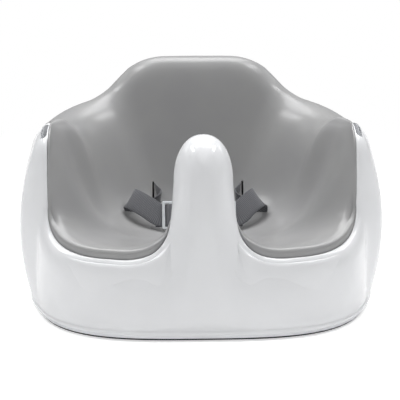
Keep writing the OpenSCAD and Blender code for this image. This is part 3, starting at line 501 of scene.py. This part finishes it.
class Section:
    # One section: where it stands on the crest, and the sizes of the lip, the liner's roll and the pan there.
    def __init__(self, place):
        self.place = place
        self.crest = self.crestAt(place)
        along = np.array([1.0, 0.0])
        if 0 < place < endPlace:
            along = unit(self.crestAt(place + 1) - self.crestAt(place - 1))
        self.normal = np.array([-along[1], along[0]])
        self.run = self.crest[0]
        self.foot = np.interp(place, [0, footPlace, lipPlace, armPlace, endPlace],
                              [0, footRun, lipRun, topRun, rearRun])
        onPommel = self.run < pommelSide + pommelForm["reach"]
        full = ramp(self.crest[1], leg + 2, pommelForm["seam"]) if onPommel else 0.0
        self.depth = rimForm["lipThickness"] / 2 + (pommelForm["depth"] - rimForm["lipThickness"]) / 2 * full
        self.radius = rimForm["lipRound"] + (pommelSide - rimForm["lipRound"]) * full
        self.seamAngle = eased(self.run, seamAngles)
        self.turnAngle = max(0, self.seamAngle + 12 * ramp(self.seamAngle, -20, 20))
        self.isPommel = place < seamPlace
        self.seamPlace = self.innerPlace(1)
        self.seam = wall(*self.seamPlace)
        self.panCorner = self.panCornerAt()
        toPan = self.panCorner - self.seam
        self.intoSeat = unit([toPan[0], toPan[1], 0])
        # The rim climbs behind the shoulders, and there the ledge under the liner drops further.
        self.climb = abs(self.normal[0]) * ramp(self.run, sideRun - 20, sideRun + 20)
        self.pastPommel = min(1, max(0, (place - seamPlace) / (footPlace - seamPlace)))
        # The way out of the shell at the seam fans out round the pommel and turns square to the wall beyond it.
        square = inward(outline(np.interp(self.run, outlineRun, outlineAngles)))
        turn = math.atan2(*square) + math.radians(pommelForm["fan"]) * (1 - self.pastPommel) ** 1.5
        if self.isPommel:
            turn = math.radians(90 * place / seamPlace)
        self.offSeam = np.array([math.sin(turn), math.cos(turn), 0])
        for size, (top, side, stations) in rollForm.items():
            setattr(self, size, self.rolled(top, side, stations))
        self.panCut = eased(self.place, [(0, 25), (footPlace, 42), (armPlace, 50), (endPlace, 42)])
        self.edge = self.seam + self.offSeam * linerForm["gap"]
        self.roll = self.edge + self.intoSeat * self.width + np.array([0, 0, self.rise])

    def crestAt(self, place):
        return np.array([np.interp(place, crestRun, crest[:, 0]), np.interp(place, crestRun, crest[:, 1])])

    def innerPlace(self, t):
        # The inner side of the lip, from the crest at 0 to the seam at 1, as run, height and inset.
        if self.isPommel:
            seamRun = seamWidth * math.sin(math.radians(90 * self.place / seamPlace))
            p = self.crest + (np.array([seamRun, pommelForm["seam"]]) - self.crest) * t * t
            near = 0.0 if t == 0 else fromCrest(*p)
            return p[0], p[1], 2 * self.depth - rounding(near, self.depth, self.radius)
        angle = math.radians(self.turnAngle + (self.seamAngle - self.turnAngle) * t)
        p = self.crest - self.normal * self.radius * (1 - math.cos(angle))
        return p[0], p[1], self.depth * (1 - math.sin(angle))

    def panCornerAt(self):
        angle = np.interp(self.place, *panAngles)
        x, y = squared(angle, panForm["halfWidth"], panForm["front" if angle < 90 else "rear"], panForm["square"])
        return np.array([x, panForm["centre"] - y, panForm["middle"][2] + eased(angle, panForm["rise"])])

    def rolled(self, top, side, stations):
        # A size of the liner's roll: round the pommel it eases from top to side, then it follows its stations.
        if self.isPommel:
            return top + (side - top) * ease(self.place / seamPlace)
        return eased(self.run, [(pommelSide + 3, side), *stations])

    # The shell's outer wall, from its bottom bead up to the crest.
    def upColumn(self, t):
        start = np.array([self.foot, skinForm["base"]])
        return start + (self.crest - start) * t

    def roundStart(self, angle):
        run = self.crest - self.upColumn(0)
        drop = self.radius * (1 - math.cos(math.radians(angle)))
        return 1 - drop / (np.linalg.norm(run) * max(0.55, unit(run) @ self.normal))

    def outerPoint(self, t, atCrest=False):
        p = self.upColumn(t)
        inset = self.depth if atCrest else rounding(fromCrest(*p), self.depth, self.radius)
        return wall(p[0], p[1], inset)

    def outerColumn(self):
        wallSteps, lipSteps, low = skinForm["wallSteps"], skinForm["lipSteps"], skinForm["start"]
        points = [wall(self.foot, skinForm["base"] + height, inset) for height, inset in skinForm["bead"]]
        first = self.roundStart(90)
        points += [self.outerPoint(low + (first - low) * i / wallSteps) for i in range(1, wallSteps)]
        for i in range(lipSteps + 1):
            turn = self.turnAngle + (90 - self.turnAngle) * (1 - i / lipSteps)
            points.append(self.outerPoint(self.roundStart(turn), turn == 0))
        return points

    def innerColumn(self):
        steps = skinForm["innerSteps"]
        return [wall(*self.innerPlace(i / steps)) for i in range(1, steps + 1)]

    # The liner's underside and the tub below it, in the section's own plane.
    def across(self, p):
        return np.array([(p - self.seam) @ self.intoSeat, p[2]])

    def back(self, v):
        return np.array([self.seam[0] + self.intoSeat[0] * v[0], self.seam[1] + self.intoSeat[1] * v[0], v[1]])

    def ledgeHeight(self, depth):
        below = (depth - linerForm["thickness"]) * (1 + linerForm["climb"] * self.climb)
        return self.seam[2] - max(linerForm["least"], linerForm["thickness"] - self.rise) - below

    def underColumn(self, depth, start):
        b, q = self.across(self.roll), self.across(self.panCorner)
        middle = panForm["middle"]
        m = np.array([np.linalg.norm(middle[:2] - self.panCorner[:2]) + q[0], middle[2]])
        n1, n2 = unit([-(b[1] - q[1]), -(q[0] - b[0])]), unit([-(q[1] - m[1]), -(m[0] - q[0])])
        qLow = q + depth * (n1 + n2) / (1 + n1 @ n2)
        bLow = b + n1 * depth
        z = self.ledgeHeight(depth)
        slope = (qLow[0] - bLow[0]) / (qLow[1] - bLow[1])
        nearest, farthest = start + bendForm["ledge"], qLow[0] - bendForm["spare"]
        w = min(max(nearest, bLow[0] + slope * (z - bLow[1])), farthest)
        fan = (self.offSeam - self.intoSeat) * start
        share = ease(self.pastPommel)
        shares = [1, 1 + share, 2 * share]
        p0, p1, q = (self.back(v) + fan * s for v, s in zip(([start, z], [w, z], qLow), shares))
        low = np.array([middle[0], middle[1], middle[2] - depth])
        cut, (upShare, inShare) = self.panCut * bendForm["under"], bendForm["pan"]
        return [p0, p1, *corner(toward(q, p1, cut, upShare), q, toward(q, low, cut, inShare), bendForm["underSteps"])]

    def linerTop(self):
        e, b, q, middle = self.edge, self.roll, self.panCorner, panForm["middle"]
        a = e + np.array([0, 0, self.rise])
        width, (topShare, downShare), (upShare, inShare) = np.linalg.norm(b - a), bendForm["roll"], bendForm["pan"]
        cut = min(self.shoulderCut, width * bendForm["shoulder"])
        b1, b2 = toward(b, a, min(self.rollCut, width * topShare - cut)), toward(b, q, self.rollCut, downShare)
        q1, q2 = toward(q, b, self.panCut, upShare), toward(q, middle, self.panCut, inShare)
        shoulderEnd = toward(a, b, cut)
        steps = bendForm["steps"]
        points = [e, *corner(toward(a, e, cut), a, shoulderEnd, steps), *between(shoulderEnd, b1, steps // 2),
                  *corner(b1, b, b2, 2 * steps), *between(b2, q1, steps), *corner(q1, q, q2, 2 * steps)]
        # The pan levels out towards its middle instead of coming to a point.
        for t in np.linspace(1, 0, bendForm["floorSteps"])[1:-1]:
            flat = middle + (q2 - middle) * t
            points.append(np.array([flat[0], flat[1], middle[2] + (q2[2] - middle[2]) * t * t * (2 - t)]))
        return points

    # The hollow between the shell's outer skin and the tub.
    def hollow(self):
        skin, seamInset = rimForm["wall"], self.seamPlace[2]
        least = skin + hollowForm["spare"]
        share = ease(ramp(self.run, *hollowForm["drop"]) * hollowForm["hurry"])
        drop = least + max(0, self.crest[1] - self.ledgeHeight(skinDepth) - least) * share
        top = self.crest - self.normal * drop
        middle = max(skin + hollowForm["least"], seamInset / 2)
        start = self.upColumn(0)
        points = []
        for t in hollowForm["outer"]:
            p = start + (top - start) * t
            near = max(0, fromCrest(*p) - drop)
            points.append(wall(p[0], p[1], skin + rounding(near, middle - skin, self.radius - skin)))
        points.append(wall(top[0], top[1], middle))
        for t in hollowForm["inner"]:
            p = self.innerPlace(t)
            v = np.array(p[:2]) - self.normal * max(0, drop - fromCrest(*p[:2]))
            points.append(wall(v[0], min(v[1], top[1]), max(middle + skin / 2 * t, p[2] - skin)))
        tubStart = max(-skin, middle + skin - seamInset)
        return points + self.underColumn(skinDepth, tubStart)


tubDepth = linerForm["thickness"] + linerForm["gap"]
skinDepth = tubDepth + rimForm["wall"]
sections = [Section(p) for p in places]
print("sections:", len(sections))


def closedSkin(name, columns, top, bottom):
    # A closed skin over the columns and their mirror images, with a point at its top and bottom.
    mirrored = [[p * np.array([-1, 1, 1]) for p in column] for column in columns[-2:0:-1]]
    every = columns + mirrored
    rows, count = len(columns[0]), len(every)
    points = [top, bottom] + [p for column in every for p in column]
    faces = []
    for i in range(count):
        a, b = 2 + i * rows, 2 + (i + 1) % count * rows
        faces.append((0, a, b))
        faces.append((1, b + rows - 1, a + rows - 1))
        faces += [(a + j, a + j + 1, b + j + 1, b + j) for j in range(rows - 1)]
    return meshFrom(name, np.array(points) * mm, faces)


def faired(columns, form, lastRow):
    # Evens out a half skin from its mirror plane to its mirror plane. How freely a point moves, from 0 to 1, follows
    # the form's stations from section to section, and fades in and out over its rows.
    firstRow, fadeIn, fadeOut = form["rows"]
    rows = np.arange(len(columns[0]))
    rowShare = np.clip((rows - firstRow) / fadeIn, 0, 1) * np.clip((lastRow - rows) / fadeOut, 0, 1)
    share = np.outer([eased(s.place, form["stations"]) for s in sections], rowShare)
    points = np.array(columns, float)
    mirror = np.array([-1, 1, 1])
    for _ in range(form["passes"]):
        ahead = np.concatenate([points[1:], points[-2:-1] * mirror])
        behind = np.concatenate([points[1:2] * mirror, points[:-1]])
        up = np.concatenate([points[:, 1:], points[:, -1:]], axis=1)
        down = np.concatenate([points[:, :1], points[:, :-1]], axis=1)
        points = points + share[:, :, None] * 0.5 * ((ahead + behind + up + down) / 4 - points)
    return [list(column) for column in points]


def cutAway(thing, cutters):
    # Takes the closed cutters out of the thing.
    for cutter in cutters:
        tool = newObject("cutter", cutter)
        modifier = thing.modifiers.new("cut", "BOOLEAN")
        modifier.object, modifier.operation, modifier.solver = tool, "DIFFERENCE", "EXACT"
        modified(thing)
        bpy.data.objects.remove(tool)


def roundedPrism(width, length, radius, low, high, turn):
    # A prism along Z with rounded corners, in millimetres, turned and moved by a matrix.
    points, steps = [], 8
    for cx, cy, start in ((1, 1, 0), (-1, 1, 90), (-1, -1, 180), (1, -1, 270)):
        for i in range(steps + 1):
            a = math.radians(start + 90 * i / steps)
            points.append((cx * (width / 2 - radius) + radius * math.cos(a),
                           cy * (length / 2 - radius) + radius * math.sin(a)))
    count = len(points)
    every = [(x, y, low) for x, y in points] + [(x, y, high) for x, y in points]
    faces = [tuple(range(count - 1, -1, -1)), tuple(range(count, 2 * count))]
    faces += [(i, (i + 1) % count, (i + 1) % count + count, i + count) for i in range(count)]
    mesh = meshFrom("prism", np.array(every) * mm, faces)
    mesh.transform(turn)
    return mesh


# The shell, with a lined pocket in each arm for a tray.
trayForm = {"length": 34, "width": 6.5, "drop": 15, "run": armRun + 35, "outward": 2, "lining": 2.2, "above": 20}
shellFairing = {"passes": 350, "rows": (9, 10, 14),
                "stations": [(20, 0), (60, 1), (footPlace + 20, 1), (lipPlace + 30, 0)]}
# The outer skin from the bottom bead over the lip to the seam, evened out where the pommel's foot meets the rim.
outerSkins = [[*s.outerColumn(), *s.innerColumn()] for s in sections]
outerSkins = faired(outerSkins, shellFairing, len(sections[0].outerColumn()) - 1)
shellColumns = [[*reversed(s.underColumn(tubDepth, 0)), *reversed(skin), *s.hollow()]
                for skin, s in zip(outerSkins, sections)]
panLow = panForm["middle"]
below = np.array([0, 0, -1])
shell = newObject("shell_moulding", closedSkin("shell_moulding", shellColumns, panLow + tubDepth * below,
                                               panLow + skinDepth * below))
pointOutwards(shell.data)
print("shell skin:", len(shell.data.polygons), "faces")

trayPlace = wall(trayForm["run"], arm, rimForm["lipThickness"] / 2 - trayForm["outward"])
strapForm = {"slotX": 52, "slotY": 92, "slotZ": 68, "slotLong": 30, "crotchY": -28, "crotchZ": 45, "crotchLong": 25,
             "slotHigh": 28, "shellGap": 2.6, "foamGap": 1.1}


def moved(x, y, z):
    return Matrix.Translation(Vector((x, y, z)) * mm)


def slotCutters(gap):
    # The webbing's slots through the tub, and closer ones through the liner, whose foam gives.
    form = strapForm
    high, long, crotchLong = form["slotHigh"], form["slotLong"], form["crotchLong"]
    onEdge = Matrix.Rotation(math.pi / 2, 4, "X")
    cutters = [roundedPrism(2 * gap, high, gap / 2, -long, long,
                            moved(side * form["slotX"], form["slotY"], form["slotZ"]) @ onEdge) for side in (-1, 1)]
    crotchPlace = moved(0, form["crotchY"], form["crotchZ"])
    return cutters + [roundedPrism(high, 2 * gap, gap / 2, -crotchLong, crotchLong, crotchPlace)]


def trayCutters():
    width = trayForm["width"]
    return [roundedPrism(width, trayForm["length"], width / 2 - 0.01, -trayForm["drop"], trayForm["above"],
                         moved(side * trayPlace[0], trayPlace[1], arm)) for side in (-1, 1)]


def slotRing(width, length, steps=10):
    # Points round a slot with round ends, in millimetres.
    r, points = width / 2, []
    for end, start in ((1, 0), (-1, 180)):
        for i in range(steps + 1):
            a = math.radians(start + 180 * i / steps)
            points.append((r * math.cos(a), end * (length / 2 - r) + r * math.sin(a)))
    return np.array(points)


def addLinings(thing, skin):
    # Each tray slot opens into a lined pocket, whose walls end inside the arm's own wall.
    lining, low = trayForm["lining"], arm - trayForm["drop"]
    with editing(thing.data) as build:
        for side in (-1, 1):
            middle = np.array([side * trayPlace[0], trayPlace[1]])
            rings = []
            for extra, floorLevel in ((0.01, low), (lining, low - lining)):
                spots = slotRing(trayForm["width"] + 2 * extra, trayForm["length"] + 2 * extra) + middle
                tops = [skin.ray_cast(Vector((x, y, 250)) * mm, (0, 0, -1))[0].z / mm - rimForm["wall"] / 2
                        for x, y in spots]
                rings.append([build.verts.new(Vector((x, y, z)) * mm) for (x, y), z in zip(spots, tops)])
                rings.append([build.verts.new(Vector((x, y, floorLevel)) * mm) for x, y in spots])
            inTop, inLow, outTop, outLow = rings
            build.faces.new(inLow)
            build.faces.new(outLow[::-1])
            for i in range(len(inTop)):
                j = (i + 1) % len(inTop)
                build.faces.new((inLow[i], inTop[i], inTop[j], inLow[j]))
                build.faces.new((outTop[i], outLow[i], outLow[j], outTop[j]))
                build.faces.new((inTop[i], outTop[i], outTop[j], inTop[j]))
        bmesh.ops.triangulate(build, faces=[f for f in build.faces if len(f.verts) > 4])


skinTree = BVHTree.FromPolygons([v.co for v in shell.data.vertices], [tuple(p.vertices) for p in shell.data.polygons])
cutAway(shell, trayCutters() + slotCutters(strapForm["shellGap"]))
addLinings(shell, skinTree)
shadeByAngle(shell.data, rimForm["sharp"])
finishPiece(shell, "seat", "glossPolypropylene", "shell")
print("shell:", len(shell.data.polygons), "faces")

# The liner.
linerTops = [s.linerTop() for s in sections]
linerFairing = {"passes": 130, "rows": (9, 8, 3),
                "stations": [(seamPlace, 0.1), (footPlace, 0.3), (lipPlace, 1), (armPlace - 40, 1),
                             (armPlace + 30, 0.6), (placeOf(backStart), 0.15)]}
linerTops = faired(linerTops, linerFairing, len(linerTops[0]) - 1)
linerColumns = [[*reversed(top), *s.underColumn(linerForm["thickness"], linerForm["gap"])]
                for top, s in zip(linerTops, sections)]
liner = newObject("foam_liner", closedSkin("foam_liner", linerColumns, panLow,
                                           panLow + linerForm["thickness"] * below))
pointOutwards(liner.data)
cutAway(liner, slotCutters(strapForm["foamGap"]))
shadeByAngle(liner.data, linerForm["sharp"])
finishPiece(liner, "seat", "skinnedFoam", "seat_liner")
print("liner:", len(liner.data.polygons), "faces")

# The webbing: a band swept along its course by a node tree.
webForm = {"width": 25.0, "thickness": 1.4, "edge": 0.55, "steps": 14, "gap": 0.5, "barGap": 1.3, "tail": (17, 27)}
bandSizes = {"Width": webForm["width"] * mm, "Thickness": webForm["thickness"] * mm, "Edge": webForm["edge"] * mm,
             "Webbing": materials["wovenPolyester"]}
bandTree, sizes = newTree("bandAlongCourse", bandSizes)


def stored(geometry, name, value, kind="FLOAT_VECTOR"):
    return addNode(bandTree, "GeometryNodeStoreNamedAttribute", {"Geometry": geometry, "Name": name, "Value": value},
                   data_type=kind, domain="POINT")


def recalled(name, kind="FLOAT_VECTOR"):
    return addNode(bandTree, "GeometryNodeInputNamedAttribute", {"Name": name}, data_type=kind)


course = addNode(bandTree, "GeometryNodeMeshToCurve", {"Mesh": sizes["Geometry"]})
faced = addNode(bandTree, "GeometryNodeSetCurveNormal", {"Curve": course, "Normal": recalled("widthWay")}, mode="FREE")
ruler = addNode(bandTree, "GeometryNodeSplineParameter")
travelled = stored(faced, "travelled", ruler.outputs["Length"], "FLOAT")
profile = addNode(bandTree, "GeometryNodeCurvePrimitiveQuadrilateral", {
    "Width": sizes["Width"], "Height": sizes["Thickness"]})
smoothProfile = addNode(bandTree, "GeometryNodeFilletCurve", {
    "Curve": profile, "Radius": sizes["Edge"], "Count": 3, "Limit Radius": True}, mode="POLY")
fineProfile = addNode(bandTree, "GeometryNodeSubdivideCurve", {"Curve": smoothProfile, "Cuts": 4})
crossPlace = stored(fineProfile, "crossPlace", addNode(bandTree, "GeometryNodeInputPosition"))
swept = addNode(bandTree, "GeometryNodeCurveToMesh", {
    "Curve": travelled, "Profile Curve": crossPlace, "Fill Caps": True})
cross = addNode(bandTree, "ShaderNodeSeparateXYZ", {0: recalled("crossPlace")})
joined = addNode(bandTree, "ShaderNodeCombineXYZ", {
    "X": recalled("travelled", "FLOAT"), "Y": cross.outputs["X"], "Z": cross.outputs["Y"]})
inMillimetres = addNode(bandTree, "ShaderNodeVectorMath", {0: joined, "Scale": 1000.0}, operation="SCALE")
rounded = addNode(bandTree, "GeometryNodeSetShadeSmooth", {"Geometry": stored(swept, "weave", inMillimetres)})
closeTree(bandTree, rounded, sizes["Webbing"])

buckleForm = {"tilt": 60, "y": 34, "lift": 2.5, "width": 44, "height": 34, "thickness": 13, "bar": 2.6,
              "barBack": -3, "tongue": 2.6, "innerSlot": 6.2, "outerSlot": 14, "frame": 19}
tilt = math.radians(buckleForm["tilt"])
buckleMiddle = np.array([0, buckleForm["y"], panLow[2] + buckleForm["lift"]
                         + buckleForm["height"] / 2 * math.sin(tilt) + buckleForm["thickness"] / 2 * math.cos(tilt)])


def bucklePoint(x, y, z):
    return buckleMiddle + np.array([x, y * math.cos(tilt) - z * math.sin(tilt),
                                    y * math.sin(tilt) + z * math.cos(tilt)])


def bandCourse(name, stations):
    # The stations are places, each with the way the band's width lies, and the course rounds each of them.
    stations = [np.array([place, way], float) for place, way in stations]
    path, last = [stations[0]], len(stations) - 1
    for i in range(1, last):
        a = stations[0] if i == 1 else (stations[i - 1] + stations[i]) / 2
        c = stations[last] if i == last - 1 else (stations[i] + stations[i + 1]) / 2
        path += corner(a, stations[i], c, webForm["steps"])[1:]
    mesh = bpy.data.meshes.new(name)
    mesh.from_pydata([tuple(p[0] * mm) for p in path], [(i, i + 1) for i in range(len(path) - 1)], [])
    ways = []
    for i, (place, way) in enumerate(path):
        tangent = unit(path[min(i + 1, len(path) - 1)][0] - path[max(i - 1, 0)][0])
        ways.append(unit(way - tangent * (way @ tangent)))
    layer = mesh.attributes.new("widthWay", "FLOAT_VECTOR", "POINT")
    layer.data.foreach_set("vector", np.array(ways, np.float32).ravel())
    return mesh


def webbing(name, stations):
    return runTree(name, bandCourse(name, stations), bandTree, bandSizes)


upright, leaning = [0, 0, 1], [0, math.cos(tilt), math.sin(tilt)]
webThick = webForm["thickness"]
overBar = buckleForm["tongue"] / 2 + webThick / 2 + webForm["gap"]


def atTongue(x, z):
    return [bucklePoint(buckleForm["width"] / 2 + x, 0, z), leaning]


waistForm = {"right": {"way": 1, "reach": 62, "lean": 0.6, "sag": 56},
             "left": {"way": -1, "reach": 72, "lean": 0.5, "sag": 56}}


def waistCourse(way, reach, lean, sag):
    # Out of the slot in a loose lobe, back over itself in a tilted fold, through the tongue's outer slot, over its
    # bar and behind itself.
    x, z = strapForm["slotX"], strapForm["slotZ"]
    lower = -overBar - webThick - webForm["gap"]
    outer, inner = buckleForm["outerSlot"], buckleForm["innerSlot"]
    tailStart, tailEnd = webForm["tail"]
    right = [[(x, 112, z), upright], [(x, 97, z), upright], [(x - 4, 86, z - 1), upright],
             [(x - 10, 76, z - 4), (-0.05, 0, 1)], [(x, 66, sag), (-0.1, 0.05, 1)],
             [(x + 17, 62, sag + 1), (-0.35, 0.1, 0.9)], [(reach + 7, 58, z + 5), (-lean, 0.3, 0.85)],
             [(reach + 4, 50, z + 7.5), (-lean, 0.45, 0.8)], [(reach / 2 + 23, 43, z), (-0.7 * lean, 0.5, 0.85)],
             atTongue(buckleForm["frame"] + 4, -overBar - 0.3), atTongue(outer, -overBar), atTongue(outer, overBar),
             atTongue(inner, overBar), atTongue(inner, lower), atTongue(tailStart, lower),
             atTongue(tailEnd, lower - 1.5)]
    return [[np.array(place) * [way, 1, 1], np.array(width) * [way, 1, 1]] for place, width in right]


for side, form in waistForm.items():
    strap = webbing("waist_webbing_" + side, waistCourse(**form))
    finishPiece(strap, None, "wovenPolyester", "waist_strap_" + side)
    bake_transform(strap)

underBar = buckleForm["barBack"] - webThick / 2 - webForm["barGap"]
belowBar = -buckleForm["height"] / 2 - webThick / 2 - webForm["barGap"]
slotLocal = -buckleForm["height"] / 2 + buckleForm["bar"] + webThick / 2 + 1
sideways = [1, 0, 0]
crotchY = strapForm["crotchY"]
crotchCourse = [(0, crotchY, 24), (0, crotchY, 38), (0, crotchY, 55), (0, crotchY + 12, 61), (0, 4, 60),
                bucklePoint(0, slotLocal, 8), bucklePoint(0, slotLocal, underBar), bucklePoint(0, belowBar, underBar),
                bucklePoint(0, belowBar, 5), (0, 12, 54.6), (0, 2, 58)]
crotch = webbing("crotch_webbing", [[place, sideways] for place in crotchCourse])
finishPiece(crotch, "seat", "wovenPolyester", "crotch_strap")
print("webbing swept")


# The mouldings' edges: how wide and in how many steps each is rounded. Points closer than merge are one, faces that
# meet flatter than flat are one, and angles are in degrees.
edgeForm = {"cover": (0.9, 4), "rearCover": (0.5, 3), "tongue": (0.45, 3), "button": (0.4, 3), "merge": 0.002,
            "flat": 1.5, "round": 35, "sharp": 32}


def softened(name, node, edge, body, material):
    mesh = nodes[node].data.copy()
    with editing(mesh) as build:
        bmesh.ops.remove_doubles(build, verts=build.verts, dist=edgeForm["merge"] * mm)
        bmesh.ops.dissolve_limit(build, angle_limit=math.radians(edgeForm["flat"]), verts=build.verts,
                                 edges=build.edges)
    piece = newObject(name, mesh)
    bevel = piece.modifiers.new("edges", "BEVEL")
    width, bevel.segments = edgeForm[edge]
    bevel.width, bevel.limit_method = width * mm, "ANGLE"
    bevel.angle_limit, bevel.use_clamp_overlap = math.radians(edgeForm["round"]), True
    modified(piece)
    shadeByAngle(piece.data, edgeForm["sharp"])
    finishPiece(piece, body, material, node)


softened("buckle_cover", "buckle_front", "cover", "seat", "acetal")
softened("buckle_rear_cover", "buckle_back", "rearCover", "seat", "acetal")
softened("tongue_plate_left", "tongue_left", "tongue", "left_tongue", "paleAcetal")
softened("tongue_plate_right", "tongue_right", "tongue", "right_tongue", "paleAcetal")
softened("push_button", "release_button", "button", "button", "darkAcetal")
print("buckle done")

# The spring: a wire wound by a node tree.
springForm = {"radius": 3.4, "wire": 0.35, "turns": 5.0, "low": -3.1, "high": 2.8, "along": 3.3, "stroke": 2}
springSizes = {"Radius": springForm["radius"] * mm, "Wire": springForm["wire"] * mm, "Turns": springForm["turns"],
               "Length": (springForm["high"] - springForm["low"]) * mm, "Steel": materials["springWire"]}
springTree, sizes = newTree("woundSpring", springSizes)
helix = addNode(springTree, "GeometryNodeCurveSpiral", {
    "Resolution": 32, "Rotations": sizes["Turns"], "Start Radius": sizes["Radius"], "End Radius": sizes["Radius"],
    "Height": sizes["Length"]})
wireRound = addNode(springTree, "GeometryNodeCurvePrimitiveCircle", {"Resolution": 12, "Radius": sizes["Wire"]})
wound = addNode(springTree, "GeometryNodeCurveToMesh", {
    "Curve": helix, "Profile Curve": wireRound, "Fill Caps": True})
closeTree(springTree, addNode(springTree, "GeometryNodeSetShadeSmooth", {"Geometry": wound}), sizes["Steel"])
spring = runTree("button_return_spring", bpy.data.meshes.new("button_return_spring"), springTree, springSizes)
lowEnd, anchor = (bucklePoint(0, springForm["along"], z) * mm
                  for z in (springForm["low"], springForm["low"] - springForm["wire"]))
spring.data.transform(Matrix.Translation(Vector(lowEnd)) @ Matrix.Rotation(tilt, 4, "X"))
finishPiece(spring, "seat", "springWire", "button_spring")
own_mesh(spring)

# The forms that stay as they came, with their own finish.
plainNodes = {"base_plate": "sparkTexturedPolypropylene", "foot_ring": "mouldedRubber",
              "base_screws": "zincPlatedSteel", "waist_anchor_left": "mouldedNylon",
              "waist_anchor_right": "mouldedNylon", "crotch_anchor": "mouldedNylon"}
for node, material in plainNodes.items():
    paint(nodes[node], material)
print("small parts done")

# The camera, fitted to the photograph.
cameraForm = {"target": (0, 0, 0.110), "azimuth": -1.6, "elevation": 17.5, "distance": 1.150, "focal": 1066,
              "frame": 400, "sensor": 36, "rise": 18}
azimuth, elevation = math.radians(cameraForm["azimuth"]), math.radians(cameraForm["elevation"])
target = Vector(cameraForm["target"])
away = Vector((math.sin(azimuth) * math.cos(elevation), -math.cos(azimuth) * math.cos(elevation),
               math.sin(elevation)))
lens = bpy.data.cameras.new("camera")
lens.sensor_width = cameraForm["sensor"]
lens.lens = cameraForm["focal"] / cameraForm["frame"] * cameraForm["sensor"]
lens.shift_y = -cameraForm["rise"] / cameraForm["frame"]
lens.clip_start, lens.clip_end = 0.01, 20
camera = newObject("camera", lens)
camera.location = target + away * cameraForm["distance"]
camera.rotation_euler = (-away).to_track_quat("-Z", "Y").to_euler()
bpy.context.scene.camera = camera

# The floor and sky: paper is the floor's own grey, glow what is added to it near the seat, litGlow the same for its
# light on the seat, white the distances in metres between which it turns white, and sky the light from all round.
stageForm = {"half": 6, "paper": 0.86, "glow": 0.42, "litGlow": 0.2, "white": (0.3, 0.7), "sky": 0.1}
half = stageForm["half"]
floorMesh = meshFrom("floor", [(-half, -half, 0), (half, -half, 0), (half, half, 0), (-half, half, 0)], [(0, 1, 2, 3)])
floor = newObject("floor", floorMesh)


def cleared(block):
    block.use_nodes = True
    block.node_tree.nodes.clear()
    return block.node_tree


def glowing(tree, strength):
    return addNode(tree, "ShaderNodeEmission", {"Color": (1, 1, 1, 1), "Strength": strength})


def seenBy(tree, *rays):
    # 1 for the camera's rays and those of the named kind.
    path = addNode(tree, "ShaderNodeLightPath")
    return calculated(tree, "MAXIMUM", *(path.outputs[ray] for ray in ("Is Camera Ray", *rays)))


# The floor is white paper to the camera and to reflections, and keeps the seat's shadow.
floorMesh.materials.append(bpy.data.materials.new("paleFloor"))
tree = cleared(floorMesh.materials[0])
paper = addNode(tree, "ShaderNodeBsdfDiffuse", {"Color": (*[stageForm["paper"]] * 3, 1)})
nearPaper = addNode(tree, "ShaderNodeAddShader", {0: paper, 1: glowing(tree, stageForm["glow"])})
reach = addNode(tree, "ShaderNodeVectorMath", {0: objectPlace(tree)}, operation="LENGTH").outputs["Value"]
far = spread(tree, reach, *stageForm["white"], interpolation_type="SMOOTHSTEP")
seenPaper = addNode(tree, "ShaderNodeMixShader", {0: far, 1: nearPaper, 2: glowing(tree, 1.0)})
litPaper = addNode(tree, "ShaderNodeAddShader", {0: paper, 1: glowing(tree, stageForm["litGlow"])})
both = addNode(tree, "ShaderNodeMixShader", {0: seenBy(tree, "Is Glossy Ray"), 1: litPaper, 2: seenPaper})
addNode(tree, "ShaderNodeOutputMaterial", {0: both})

world = bpy.data.worlds.new("studio")
bpy.context.scene.world = world
tree = cleared(world)
level = spread(tree, seenBy(tree, "Is Transmission Ray"), 0.0, 1.0, stageForm["sky"])
sky = addNode(tree, "ShaderNodeBackground", {"Color": (1, 1, 1, 1), "Strength": level})
addNode(tree, "ShaderNodeOutputWorld", {0: sky})


def softbox(name, place, aim, size, watts):
    light = bpy.data.lights.new(name, "AREA")
    light.shape, light.size, light.size_y, light.energy = "RECTANGLE", size[0], size[1], watts
    thing = newObject(name, light)
    thing.location = place
    thing.rotation_euler = (Vector(aim) - Vector(place)).to_track_quat("-Z", "Y").to_euler()
    return thing


# Each light has its place, its aim, its size in metres and its watts.
softbox("overhead", (0, 0.38, 1.7), (0, 0, 0.1), (1.6, 1.3), 36)
softbox("front", (0, -1.9, 0.2), (0, 0, 0.1), (1.0, 0.3), 3.5).visible_glossy = False
softbox("high front", (0, -1.5, 1.3), (0, 0, 0.1), (0.9, 0.5), 3).visible_glossy = False
for side in (-1, 1):
    softbox("rear", (1.3 * side, 0.6, 1.0), (0, 0.05, 0.15), (0.5, 0.3), 1.2)
    for back in (-0.22, 0.12):
        softbox("lamp", (0.95 * side, back, 1.35), (0, 0, 0.1), (0.24, 0.24), 3.2)
bpy.context.scene.view_settings.view_transform = "Standard"
print("stage and light set")
